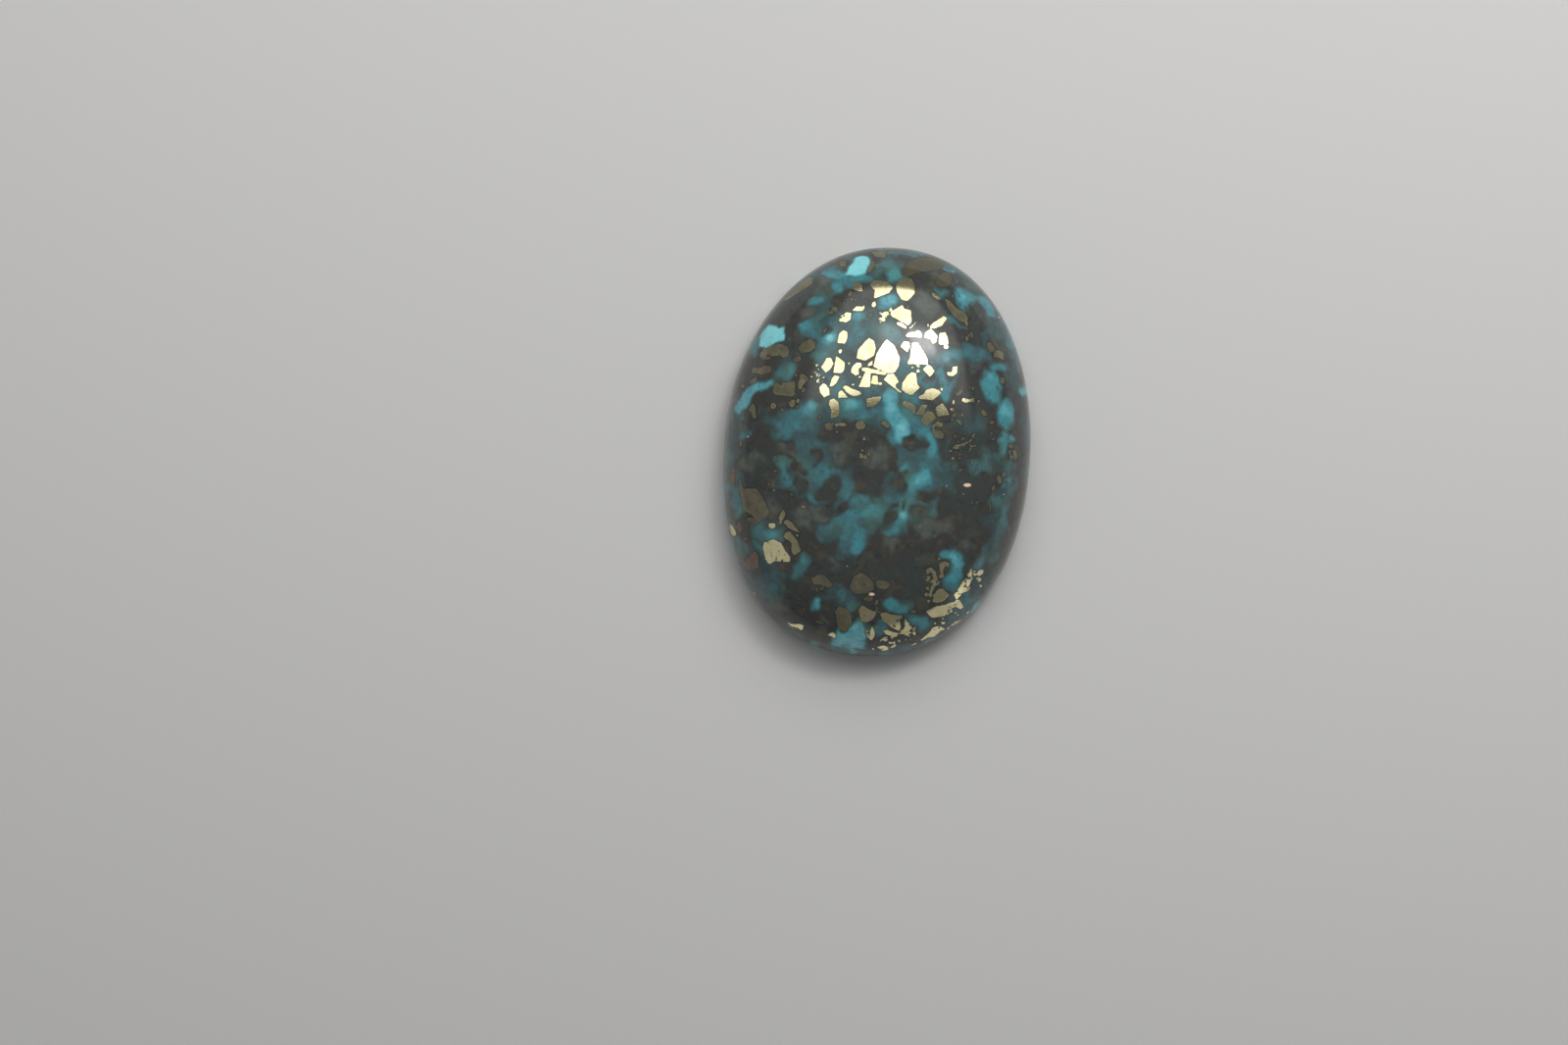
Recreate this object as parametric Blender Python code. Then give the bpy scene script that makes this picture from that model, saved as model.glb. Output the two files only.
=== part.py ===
"""A loose turquoise cabochon: one oval stone with a polished dome and a flat ground back.

Run it with: blender --background --python part.py
Metres, +Z up. The long axis lies along Y and the stone rests on its back at Z = 0.
"""

import math

import bmesh
import bpy
from mathutils import Matrix, Vector

MM = 0.001

# Driving dimensions of the cut
LENGTH = 38.0 * MM
WIDTH = 28.4 * MM
HEIGHT = 10.0 * MM
GIRDLE_HEIGHT = 1.1 * MM
BACK_INSET = 0.9 * MM

# Fullness of the curves: 2 is a true ellipse, more is squarer
PLAN_FULLNESS = 2.16
DOME_FULLNESS = 2.25

# The stone was ground and polished by hand, so its outline and dome are a little uneven.
# Each outline wave is (lobes round the stone, share of the radius, phase in degrees).
OUTLINE_WAVES = ((3, 0.005, 100.0), (4, 0.005, 70.0), (5, 0.003, 270.0))
# Each flat spot is (x, y, radius, depth) in millimetres, where the wheel cut a touch deeper.
FLAT_SPOTS = (
    (-7.5, 10.0, 6.0, 0.14),
    (6.5, -9.5, 6.5, 0.16),
    (-8.0, -7.0, 5.0, 0.10),
    (8.5, 6.0, 5.5, 0.12),
    (0.5, -1.0, 5.0, 0.08),
)

# How finely the faceted solid follows the curves
SEGMENTS = 104
DOME_RINGS = 26
EDGE_RINGS = 5
WELD = 0.001 * MM


def clear_scene():
    """Empties the scene of whatever the file opened with."""
    for old in list(bpy.data.objects):
        bpy.data.objects.remove(old)


def full_curve(angle, fullness):
    """The cosine and sine of a superellipse at this angle."""
    cosine, sine = math.cos(angle), math.sin(angle)
    share = 2 / fullness
    return (
        math.copysign(abs(cosine) ** share, cosine),
        math.copysign(abs(sine) ** share, sine),
    )


def meridian():
    """Points from the centre of the dome, over the girdle, to the edge of the back.

    Each is (share of the plan radius, distance in from the girdle, height).
    """
    dome_height = HEIGHT - GIRDLE_HEIGHT
    points = []
    for ring in range(DOME_RINGS + 1):
        angle = math.pi / 2 * (1 - ring / DOME_RINGS)
        out, up = full_curve(angle, DOME_FULLNESS)
        points.append((max(out, 0.0), 0.0, GIRDLE_HEIGHT + dome_height * up))
    for ring in range(1, EDGE_RINGS + 1):
        angle = math.pi / 2 * ring / EDGE_RINGS
        inwards = BACK_INSET * (1 - math.cos(angle))
        points.append((1.0, inwards, GIRDLE_HEIGHT * (1 - math.sin(angle))))
    points[0] = (0.0, 0.0, HEIGHT)
    points[-1] = (1.0, BACK_INSET, 0.0)
    return points


def plan_radius(bearing):
    """Distance from the stone's axis to the girdle in this direction, in metres."""
    across = abs(math.cos(bearing)) / (WIDTH / 2)
    along = abs(math.sin(bearing)) / (LENGTH / 2)
    radius = (across**PLAN_FULLNESS + along**PLAN_FULLNESS) ** (-1 / PLAN_FULLNESS)
    for lobes, share, phase in OUTLINE_WAVES:
        radius *= 1 + share * math.cos(lobes * bearing + math.radians(phase))
    return radius


def flat_spot_depth(x, y):
    """How far the dome lies below its even curve at this place, in metres."""
    depth = 0.0
    for spot_x, spot_y, reach, deep in FLAT_SPOTS:
        away = math.hypot(x - spot_x * MM, y - spot_y * MM) / (reach * MM)
        if away < 1:
            depth += deep * MM * (1 - away * away) ** 2
    return depth


def spun_profile():
    """The meridian spun once round Z, as a bmesh of unit radius with its back closed.

    A vertex's X and Y are its share of the plan radius, and its Z is its ring's number.
    """
    form = bmesh.new()
    rings = meridian()
    row = [
        form.verts.new((share, 0.0, number * MM))
        for number, (share, _inset, _height) in enumerate(rings)
    ]
    line = [form.edges.new(pair) for pair in zip(row, row[1:])]
    bmesh.ops.spin(
        form,
        geom=row + line,
        cent=(0, 0, 0),
        axis=(0, 0, 1),
        angle=2 * math.pi,
        steps=SEGMENTS,
        use_merge=True,
        use_duplicate=False,
    )
    bmesh.ops.remove_doubles(form, verts=form.verts, dist=WELD)
    back_edges = [edge for edge in form.edges if edge.is_boundary]
    bmesh.ops.contextual_create(form, geom=back_edges)
    return form, rings


def cut_to_shape(form, rings):
    """Moves each spun vertex out to the oval outline, and up to its place on the dome."""
    for vert in form.verts:
        share, inset, height = rings[round(vert.co.z / MM)]
        bearing = math.atan2(vert.co.y, vert.co.x)
        radius = plan_radius(bearing) * share - inset
        x, y = radius * math.cos(bearing), radius * math.sin(bearing)
        above_girdle = max(0.0, (height - GIRDLE_HEIGHT) / (HEIGHT - GIRDLE_HEIGHT))
        height -= flat_spot_depth(x, y) * above_girdle
        vert.co = Vector((x, y, height))


def settle_on_origin(form):
    """Centres the stone's box on the Z axis, with its exact length, width and height."""
    low = Vector(min(v.co[axis] for v in form.verts) for axis in range(3))
    high = Vector(max(v.co[axis] for v in form.verts) for axis in range(3))
    middle = (low + high) / 2
    bmesh.ops.translate(form, verts=form.verts, vec=(-middle.x, -middle.y, -low.z))
    size = high - low
    to_size = Matrix.Diagonal((WIDTH / size.x, LENGTH / size.y, HEIGHT / size.z, 1.0))
    bmesh.ops.transform(form, matrix=to_size, verts=form.verts)


def stone_material():
    """Dark matrix with blue-green turquoise, polished to a wet gloss."""
    material = bpy.data.materials.new("polished_turquoise")
    material.use_nodes = True
    shader = material.node_tree.nodes["Principled BSDF"]
    shader.inputs["Base Color"].default_value = (0.030, 0.105, 0.120, 1.0)
    shader.inputs["Roughness"].default_value = 0.15
    shader.inputs["Metallic"].default_value = 0.0
    return material


def make_stone():
    """The whole object: one solid stone."""
    form, rings = spun_profile()
    cut_to_shape(form, rings)
    settle_on_origin(form)
    bmesh.ops.recalc_face_normals(form, faces=form.faces)
    mesh = bpy.data.meshes.new("turquoise_stone")
    form.to_mesh(mesh)
    form.free()
    mesh.shade_smooth()
    mesh.set_sharp_from_angle(angle=math.radians(40))
    mesh.materials.append(stone_material())
    stone = bpy.data.objects.new("turquoise_stone", mesh)
    bpy.context.scene.collection.objects.link(stone)
    return stone


clear_scene()
make_stone()
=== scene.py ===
"""A polished turquoise cabochon with pyrite flakes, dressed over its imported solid.

The stone lies on its flat back on a pale floor, under one soft panel with dim ones at its sides.
The frame is in metres, and sizes here are in millimetres times MM.
"""

import math
import random

import bmesh
import bpy
import numpy as np
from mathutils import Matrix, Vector, noise


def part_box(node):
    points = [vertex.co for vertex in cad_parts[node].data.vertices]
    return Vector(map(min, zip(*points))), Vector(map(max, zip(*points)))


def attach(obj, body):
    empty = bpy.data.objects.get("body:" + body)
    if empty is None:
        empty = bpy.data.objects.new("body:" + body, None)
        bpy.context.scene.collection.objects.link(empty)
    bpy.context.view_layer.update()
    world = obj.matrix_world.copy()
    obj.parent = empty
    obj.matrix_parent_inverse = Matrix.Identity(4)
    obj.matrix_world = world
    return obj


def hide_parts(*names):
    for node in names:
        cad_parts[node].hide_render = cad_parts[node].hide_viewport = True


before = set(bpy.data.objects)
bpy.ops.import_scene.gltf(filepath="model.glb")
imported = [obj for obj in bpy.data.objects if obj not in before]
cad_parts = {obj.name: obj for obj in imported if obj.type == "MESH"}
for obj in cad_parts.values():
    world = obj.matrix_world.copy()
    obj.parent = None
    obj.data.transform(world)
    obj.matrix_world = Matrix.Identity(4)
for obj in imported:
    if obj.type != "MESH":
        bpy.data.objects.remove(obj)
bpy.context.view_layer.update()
MM = 0.001

# The form of the stone: an oval cut from a slab of turquoise in its dark host rock. The girdle and
# dome were ground on a wheel and polished by hand, so both are a little uneven, and the back was
# ground flat. It is one closed skin, pulled from a finely divided cube into the cut's own curves.
GIRDLE_HEIGHT = 1.1
BACK_INSET = 0.9
PLAN_FULLNESS = 2.16
DOME_FULLNESS = 2.25
# Each wave of the outline is (lobes round the stone, share of the radius, phase in degrees).
OUTLINE_WAVES = ((3, 0.005, 100.0), (4, 0.005, 70.0), (5, 0.003, 270.0))
# Each flat spot is (x, y, radius, depth), where the wheel cut a touch deeper.
FLAT_SPOTS = (
    (-7.5, 10.0, 6.0, 0.14),
    (6.5, -9.5, 6.5, 0.16),
    (-8.0, -7.0, 5.0, 0.10),
    (8.5, 6.0, 5.5, 0.12),
    (0.5, -1.0, 5.0, 0.08),
)
GRID_CUTS = 126
SECTION_STEPS = 600
# The share of the way from the top of the skin to its bottom that the dome and edge take up
FACE_SHARE = 0.72
# The plan keeps at least this share of any length on the surface, so marks don't streak down the rim.
LEAST_FORESHORTENING = 0.5

stone_low, stone_high = (np.array(corner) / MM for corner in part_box("turquoise_stone"))
WIDTH, LENGTH, HEIGHT = stone_high - stone_low


def plan_radius(bearing):
    """Distance from the stone's axis to the girdle in each direction."""
    across = np.abs(np.cos(bearing)) / (WIDTH / 2)
    along = np.abs(np.sin(bearing)) / (LENGTH / 2)
    radius = (across**PLAN_FULLNESS + along**PLAN_FULLNESS) ** (-1 / PLAN_FULLNESS)
    for lobes, share, phase in OUTLINE_WAVES:
        radius = radius * (1 + share * np.cos(lobes * bearing + math.radians(phase)))
    return radius


def meridian(way):
    """The skin's section at each share of the way from the top of the dome to the edge of the back.

    Gives the share of the plan radius, the distance in from it, the height, and the share that the
    unrolled plan uses, which goes on growing where the rim is steep.
    """
    turn = np.linspace(0, math.pi / 2, SECTION_STEPS)
    dome_share = np.sin(turn) ** (2 / DOME_FULLNESS)
    dome_height = GIRDLE_HEIGHT + (HEIGHT - GIRDLE_HEIGHT) * np.cos(turn) ** (2 / DOME_FULLNESS)
    edge_inset = BACK_INSET * (1 - np.cos(turn))
    edge_height = GIRDLE_HEIGHT * (1 - np.sin(turn))
    share = np.concatenate([dome_share, np.ones_like(turn)])
    inset = np.concatenate([np.zeros_like(turn), edge_inset])
    height = np.concatenate([dome_height, edge_height])
    mean_radius = (WIDTH + LENGTH) / 4
    plan = share * mean_radius - inset
    step = np.hypot(np.diff(plan), np.diff(height))
    # Below the girdle nothing is seen from above, so there the plan keeps every length in full.
    least = np.concatenate([np.full(len(turn), LEAST_FORESHORTENING), np.ones(len(turn) - 1)])
    unrolled_step = np.maximum(np.diff(plan), least * step)
    length = np.concatenate([[0], np.cumsum(step)]) / step.sum()
    unrolled = np.concatenate([[0], np.cumsum(unrolled_step)]) / mean_radius
    return [np.interp(way, length, row) for row in (share, inset, height, unrolled)]


def flat_spot_depth(x, y):
    """How far the dome lies below its even curve at each place."""
    depth = np.zeros_like(x)
    for spot_x, spot_y, reach, deep in FLAT_SPOTS:
        away = np.hypot(x - spot_x, y - spot_y) / reach
        depth += deep * np.clip(1 - away * away, 0, 1) ** 2
    return depth


def cut_cabochon(directions):
    """Takes unit directions to places on the stone, with each place's spot on the unrolled plan."""
    bearing = np.arctan2(directions[:, 1], directions[:, 0])
    down = np.arccos(np.clip(directions[:, 2], -1, 1)) / math.pi
    share, inset, height, unrolled = meridian(np.clip(down / FACE_SHARE, 0, 1))
    left_on_back = np.clip((1 - down) / (1 - FACE_SHARE), 0, 1)
    rim_radius = plan_radius(bearing)
    radius = (rim_radius * share - inset) * left_on_back
    x, y = radius * np.cos(bearing), radius * np.sin(bearing)
    above_girdle = np.clip((height - GIRDLE_HEIGHT) / (HEIGHT - GIRDLE_HEIGHT), 0, 1)
    height = height - flat_spot_depth(x, y) * above_girdle
    places = np.stack([x, y, height], axis=1)
    low, high = places.min(axis=0), places.max(axis=0)
    to_size = np.array([WIDTH, LENGTH, HEIGHT]) / (high - low)
    places = (places - low) * to_size + stone_low
    unrolled_radius = rim_radius * (unrolled + (1 - left_on_back) * (rim_radius - inset) / rim_radius)
    spots = np.stack([unrolled_radius * np.cos(bearing), unrolled_radius * np.sin(bearing)], axis=1)
    spots = (spots - low[:2]) * to_size[:2] + stone_low[:2]
    return places, spots


form = bmesh.new()
bmesh.ops.create_cube(form, size=2.0)
bmesh.ops.subdivide_edges(form, edges=form.edges, cuts=GRID_CUTS, use_grid_fill=True)
stone_mesh = bpy.data.meshes.new("turquoise_cabochon")
form.to_mesh(stone_mesh)
form.free()
cube_places = np.empty(len(stone_mesh.vertices) * 3, np.float32)
stone_mesh.vertices.foreach_get("co", cube_places)
# The tangent spreads the cube's rows evenly once they are pushed out to a sphere.
directions = np.tan(cube_places.reshape(-1, 3).astype(float) * math.pi / 4)
directions /= np.linalg.norm(directions, axis=1)[:, None]
places, spots = cut_cabochon(directions)
stone_mesh.vertices.foreach_set("co", (places * MM).ravel())
stone_mesh.update()
stone_mesh.shade_smooth()
stone = bpy.data.objects.new("turquoise_cabochon", stone_mesh)
bpy.context.scene.collection.objects.link(stone)

# The marks in the stone: patches of turquoise, clouds of grey rock and flakes of pyrite, all ground
# flush with the polish, so they are colour alone. Each was placed in millimetres from the
# stone's middle, as it lies in the photograph, which shows the stone leaning a little to the right.
# Among these marks are two painted highlights on crystal faces, and flakes painted dark as painted shade.
LEAN = math.radians(6.0)
# The photograph's viewpoint, in the same directions, and its height over the girdle
SEEN_FROM = (-8.6, -6.5)
SEEN_HEIGHT = 404.0

# A stroke of colour is a row of (x, y, radius).
TURQUOISE = {
    "haze": (
        ((-7.4, 17.0, 0.5), (-4.8, 16.4, 0.7), (-4.6, 14.0, 0.7), (-5.4, 12.2, 0.7), (-5.8, 11.2, 0.8)),
        ((-2.6, 18.2, 0.5), (-1.2, 16.4, 0.8), (0.4, 17.3, 0.8), (2.0, 16.8, 0.5)),
        ((-4.4, 12.4, 0.8), (-2.0, 11.2, 1.4), (-3.6, 9.2, 1.3), (-5.2, 8.6, 0.7)),
        ((-1.4, 12.4, 0.9), (0.6, 11.2, 1.2), (1.2, 13.9, 1.0), (-0.6, 9.8, 1.0)),
        (
            (-4.6, 7.0, 1.4), (-2.2, 6.8, 1.6), (-2.6, 4.6, 1.5),
            (0.4, 5.8, 1.4), (2.4, 5.6, 1.3), (2.0, 8.0, 1.2),
        ),
        ((3.6, 8.4, 1.4), (5.0, 7.0, 1.4), (6.4, 8.4, 1.2), (8.4, 9.0, 0.9), (10.0, 9.0, 0.6)),
        ((7.6, 17.0, 0.4), (9.4, 15.4, 0.4), (11.4, 12.6, 0.5), (12.5, 9.4, 0.6), (12.8, 6.0, 0.6)),
        ((10.4, 12.2, 0.5), (10.5, 10.4, 0.5)),
        ((-10.4, 3.2, 0.6), (-8.8, 2.2, 1.2), (-7.2, 3.0, 1.3), (-6.2, 1.4, 1.2), (-5.2, 0.4, 0.9)),
        ((-6.0, 3.8, 1.1), (-3.2, 3.9, 1.1), (-1.0, 3.6, 1.0), (0.6, 1.8, 0.5)),
        ((-6.4, 0.6, 0.9), (-6.2, -1.6, 1.1), (-4.8, -1.6, 1.5), (-6.2, -3.6, 1.1), (-5.4, -4.8, 0.6)),
        ((-8.6, -1.6, 0.7), (-8.2, -2.8, 0.6)),
        ((-3.1, -2.6, 0.9), (-2.9, -4.2, 1.1), (-1.4, -4.9, 0.9), (0.6, -4.4, 0.8), (1.2, -2.6, 0.7)),
        ((3.0, -0.6, 1.0), (4.6, -1.6, 1.6), (6.0, -1.8, 1.1), (7.0, -2.8, 0.7)),
        ((3.4, 4.4, 1.2), (3.8, 2.4, 1.1), (5.2, 0.6, 1.0)),
        ((-4.6, -7.2, 0.9), (-2.4, -6.9, 1.3), (-2.6, -9.0, 1.2), (-0.4, -6.2, 0.7)),
        ((1.6, -7.2, 0.9), (2.8, -5.4, 1.0), (4.8, -5.0, 0.8), (3.2, -4.2, 1.0)),
        ((-10.4, -7.6, 1.2), (-11.4, -8.8, 0.8), (-9.4, -11.2, 0.7)),
        ((-7.0, -10.4, 0.5),),
        ((-8.4, -11.5, 0.4),),
        ((-9.8, -12.3, 1.0), (-9.9, -11.4, 0.5)),
        ((-13.2, -8.4, 0.3), (-12.8, -10.8, 0.4), (-11.2, -13.2, 0.4)),
        ((-4.2, -13.6, 0.7), (-3.0, -13.5, 0.9), (-2.2, -14.1, 0.6)),
        ((11.9, -1.2, 0.7), (12.1, -2.8, 0.7), (11.4, -4.6, 0.7), (11.5, -7.4, 0.7), (10.2, -9.8, 0.6)),
        ((10.0, -0.7, 0.9), (9.4, -1.3, 0.6)),
        ((10.4, -6.8, 0.5),),
        ((9.4, 2.6, 0.6), (6.7, 2.5, 0.3)),
        ((4.0, -15.7, 0.8), (1.8, -14.4, 0.9)),
        ((7.0, -12.4, 0.9), (8.6, -13.5, 0.8), (7.2, -15.2, 0.7), (5.2, -17.4, 0.5)),
        ((9.5, -12.3, 0.5), (9.5, -10.4, 0.5)),
        ((-8.8, 7.2, 0.8), (-8.0, 9.6, 0.5)),
        ((-11.6, 9.5, 0.7),),
        ((0.2, -16.4, 0.8), (-4.2, -18.0, 0.6)),
        ((-13.4, 3.6, 0.4), (-13.6, -1.0, 0.3), (-13.0, -4.4, 0.6)),
        ((-4.8, 16.4, 0.6), (-2.8, 15.8, 0.6)),
        ((4.4, 15.2, 0.5), (5.8, 14.9, 0.3)),
        ((-5.0, -7.4, 0.5),),
    ),
    "web": (
        ((-7.4, 3.6, 0.7), (-6.2, 4.0, 0.8)),
        ((-6.4, -1.4, 0.6), (-5.2, -1.9, 0.9), (-4.0, -1.7, 0.6)),
        ((-3.0, -3.0, 0.6), (-2.8, -4.1, 0.8), (-1.6, -4.6, 0.7), (0.0, -4.8, 0.6), (1.2, -4.2, 0.6)),
        ((4.6, -0.8, 0.8), (5.6, -1.2, 0.7)),
        ((2.0, -1.8, 0.4), (3.0, -1.6, 0.6)),
        ((-3.2, 4.2, 0.9), (-1.6, 4.0, 1.0), (0.0, 3.8, 0.7)),
        ((-4.8, 12.4, 0.7), (-5.6, 11.8, 0.7), (-6.4, 11.2, 0.6)),
        ((-5.0, 9.2, 1.0), (-3.6, 11.6, 1.0), (-1.8, 11.0, 1.0), (-0.6, 12.0, 0.6)),
        ((0.8, 11.2, 0.8), (2.0, 10.8, 0.6)),
        ((-4.8, 7.0, 0.5), (-3.8, 6.4, 0.7), (-2.8, 4.8, 0.8)),
        ((2.4, 7.9, 0.7), (4.4, 7.0, 0.8), (6.2, 7.4, 0.8), (6.4, 6.2, 0.6)),
        ((1.4, 5.8, 0.6), (-1.0, 5.7, 0.5)),
        ((3.0, 4.4, 0.8), (3.6, 2.6, 0.8)),
        ((11.4, -4.6, 0.4), (11.3, -5.6, 0.4), (11.6, -6.6, 0.4)),
        ((1.6, 16.6, 0.6), (0.4, 17.4, 0.5)),
        ((-4.2, 15.6, 0.6), (-3.0, 15.7, 0.5), (-1.4, 16.2, 0.5)),
        ((-12.2, 3.4, 0.4), (-12.2, 1.8, 0.3)),
        ((12.6, 8.0, 0.4), (11.8, 11.6, 0.4)),
        ((10.2, -0.5, 0.5), (9.7, -1.2, 0.4)),
        ((8.5, -13.5, 0.5), (7.3, -15.2, 0.5)),
        ((12.2, -1.5, 0.4), (12.1, -2.9, 0.5)),
        ((4.9, -5.0, 0.4), (3.4, -4.2, 0.5)),
        ((-4.6, -7.2, 0.6), (-5.0, -7.8, 0.3)),
        ((-3.0, -7.8, 0.6), (-2.8, -9.2, 0.6)),
    ),
    "veil": (
        ((-8.3, 2.6, 0.7), (-7.3, 2.5, 1.0), (-6.5, 2.2, 0.8)),
        ((-7.1, 1.3, 0.8), (-6.6, 0.7, 0.7), (-5.6, 0.4, 0.6)),
        ((-6.7, -0.8, 0.4), (-5.9, -1.3, 0.5), (-5.0, -1.3, 0.5)),
        ((-6.4, -2.4, 0.5), (-6.3, -3.6, 0.55), (-5.5, -4.5, 0.4)),
        ((-8.7, -1.4, 0.6), (-8.3, -2.6, 0.6), (-7.8, -3.2, 0.3)),
        ((2.2, -0.3, 0.6), (3.4, -0.3, 0.7), (4.7, -0.4, 0.7)),
        ((3.3, -0.3, 0.3), (4.2, -0.35, 0.3)),
        ((4.6, -1.2, 0.8), (4.4, -2.6, 1.1), (3.2, -3.8, 0.8), (2.6, -4.7, 0.7)),
        ((5.3, 8.7, 0.8), (7.0, 9.0, 0.8), (8.6, 9.0, 0.7), (9.8, 8.9, 0.6)),
        ((-10.5, -7.4, 0.7), (-9.7, -7.7, 0.6)),
        ((-3.4, -13.3, 0.5),),
        ((-2.5, -14.3, 0.4),),
        ((-9.9, -11.6, 0.5), (-9.8, -12.6, 0.8), (-9.6, -13.4, 0.4)),
        ((7.0, -9.8, 0.5), (7.5, -10.6, 0.7), (7.2, -11.8, 0.7)),
        ((0.3, 18.75, 0.2), (2.1, 18.7, 0.25), (3.9, 18.45, 0.2)),
        ((-5.6, 14.0, 0.5),),
        ((-3.6, 12.3, 0.5), (-2.0, 10.2, 0.6)),
        ((-11.7, 9.5, 0.5), (-11.1, 10.1, 0.4)),
        ((-8.6, 7.3, 0.7),),
    ),
    "deep": (
        ((-8.7, 2.2, 0.55), (-7.9, 2.7, 0.5)),
        ((-0.1, 4.0, 0.35), (0.7, 3.9, 0.5)),
        ((-7.4, 2.3, 0.3), (-6.6, 2.1, 0.3)),
        ((-6.9, 3.6, 0.5), (-6.2, 3.9, 0.6)),
        ((-5.5, -1.9, 0.5), (-5.0, -1.8, 0.45)),
        ((-6.3, -3.8, 0.3), (-6.0, -4.2, 0.35), (-5.5, -4.5, 0.25)),
        ((-8.6, -1.8, 0.35), (-8.3, -2.6, 0.35)),
        ((-11.5, 9.5, 0.4), (-11.0, 10.1, 0.3)),
        ((-2.2, 16.2, 0.35), (-1.0, 16.1, 0.4)),
        ((-4.1, -6.5, 0.4), (-2.8, -6.3, 0.55), (-1.6, -5.9, 0.6), (-0.4, -5.5, 0.6), (0.2, -5.3, 0.4)),
        ((-2.2, -7.2, 0.75), (-2.0, -8.2, 0.7), (-1.8, -9.2, 0.55)),
        ((1.3, -7.4, 0.35), (1.7, -7.1, 0.5), (2.1, -6.5, 0.45)),
        ((1.6, 1.2, 0.5), (2.2, 1.1, 0.5)),
        ((3.8, 2.6, 0.4), (4.5, 1.9, 0.42), (5.0, 1.1, 0.45), (5.2, 0.3, 0.5), (5.2, -0.5, 0.45)),
        ((4.4, -1.6, 0.6), (4.2, -2.5, 0.8), (3.4, -3.4, 0.7), (2.9, -4.4, 0.4)),
        ((-10.7, -7.4, 0.4), (-9.7, -7.7, 0.5)),
        ((-11.2, -8.6, 0.3), (-10.9, -9.3, 0.25)),
        ((-6.9, -10.0, 0.5), (-7.1, -10.8, 0.45), (-7.3, -11.4, 0.3)),
        ((3.6, -15.5, 0.5), (4.2, -15.8, 0.6)),
        ((8.6, -13.6, 0.3),),
        ((6.8, 12.3, 0.22), (7.3, 11.9, 0.24), (7.9, 11.5, 0.2)),
        ((3.6, 2.9, 0.4), (2.6, 3.9, 0.4)),
        ((4.4, -17.7, 0.35), (5.3, -17.3, 0.35)),
        ((-6.7, 11.5, 0.45), (-5.9, 11.0, 0.4)),
        ((12.1, -2.9, 0.35),),
        ((-13.0, -3.6, 0.25), (-13.0, -4.6, 0.35), (-12.9, -5.5, 0.3)),
        ((-9.0, 7.2, 0.35), (-8.3, 7.4, 0.4)),
        ((2.5, 5.1, 0.4), (3.4, 4.8, 0.4)),
        ((6.9, -12.3, 0.45),),
        ((6.2, 8.7, 0.5), (7.0, 8.95, 0.4), (7.9, 9.0, 0.3), (8.8, 9.1, 0.35), (9.5, 9.1, 0.3)),
        ((0.3, -15.9, 0.4), (0.0, -16.6, 0.25)),
        ((-0.8, 3.6, 0.5), (-2.4, 3.8, 0.5)),
        ((-5.4, 8.8, 0.4), (-4.8, 9.6, 0.5)),
        ((4.2, 6.7, 0.5), (4.7, 6.3, 0.4)),
        ((2.6, 8.0, 0.4), (3.4, 7.9, 0.3)),
        ((-3.9, 5.6, 0.4), (-3.2, 6.8, 0.35)),
        ((1.8, 11.0, 0.5), (0.9, 11.2, 0.4)),
        ((-2.4, 10.6, 0.5), (-2.0, 11.4, 0.4)),
        ((10.3, 7.3, 0.3), (10.2, 6.6, 0.3)),
        ((-3.0, -4.0, 0.3), (-2.9, -3.3, 0.3)),
        ((-1.9, -4.5, 0.3), (-1.2, -4.6, 0.25)),
        ((-13.2, -8.8, 0.2), (-12.9, -10.2, 0.22), (-12.5, -11.3, 0.2)),
        ((9.5, -10.3, 0.35),),
        ((-3.4, -13.1, 0.3),),
        ((-2.5, -14.4, 0.3),),
        ((-12.1, 1.7, 0.18), (-12.3, 1.2, 0.15)),
        ((2.7, -4.6, 0.45), (3.2, -4.2, 0.4)),
        ((-3.4, 15.9, 0.35), (-2.6, 15.9, 0.25)),
        ((0.9, -4.4, 0.3), (2.2, -4.7, 0.35)),
        ((0.2, 18.8, 0.12), (2.0, 18.75, 0.15), (3.6, 18.5, 0.12)),
        ((5.4, 15.0, 0.2), (6.0, 14.85, 0.2)),
        ((-9.8, -12.7, 0.4),),
    ),
    "mid": (
        (
            (10.1, 7.1), (10.8, 7.5), (11.1, 6.8), (11.4, 6.0), (11.4, 5.3),
            (11.1, 4.6), (10.6, 4.5), (10.2, 5.2), (9.9, 6.0), (9.9, 6.7),
        ),
        (
            (7.05, 14.9), (7.6, 15.15), (8.3, 15.1), (8.8, 14.7), (9.15, 14.3),
            (8.85, 13.9), (8.45, 13.3), (8.1, 13.15), (7.8, 13.5), (7.35, 14.2),
        ),
        (
            (9.25, 14.3), (9.8, 14.3), (10.3, 14.0), (10.8, 13.3), (11.15, 12.6),
            (10.9, 12.45), (10.4, 12.6), (9.9, 13.2), (9.5, 13.7),
        ),
        (
            (11.2, 4.6), (11.9, 4.95), (12.5, 4.6), (12.75, 3.9), (12.65, 3.0),
            (12.3, 2.2), (11.9, 2.1), (11.4, 2.6), (11.1, 3.2), (11.15, 4.0),
        ),
        (
            (11.25, 1.1), (11.5, 1.8), (12.1, 1.75), (12.7, 1.1),
            (12.1, 0.7), (11.8, 0.1), (11.5, -0.3), (11.5, 0.4),
        ),
        ((4.55, -1.8, 0.4), (4.35, -2.4, 0.55), (3.7, -2.9, 0.5), (3.3, -3.4, 0.35)),
        ((4.7, 1.6, 0.15), (5.1, 0.8, 0.22), (5.2, 0.2, 0.25), (5.1, -0.2, 0.2)),
        ((-6.6, 3.8, 0.4), (-6.1, 4.2, 0.5)),
        ((-2.6, 4.5, 0.45), (-1.9, 4.5, 0.4)),
        ((6.0, 7.2, 0.3), (6.2, 6.5, 0.35), (6.4, 5.6, 0.4), (6.4, 4.9, 0.35)),
        ((6.5, 8.8, 0.35), (7.0, 9.0, 0.3)),
        ((11.0, 7.9, 0.35), (11.6, 7.8, 0.3)),
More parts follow.
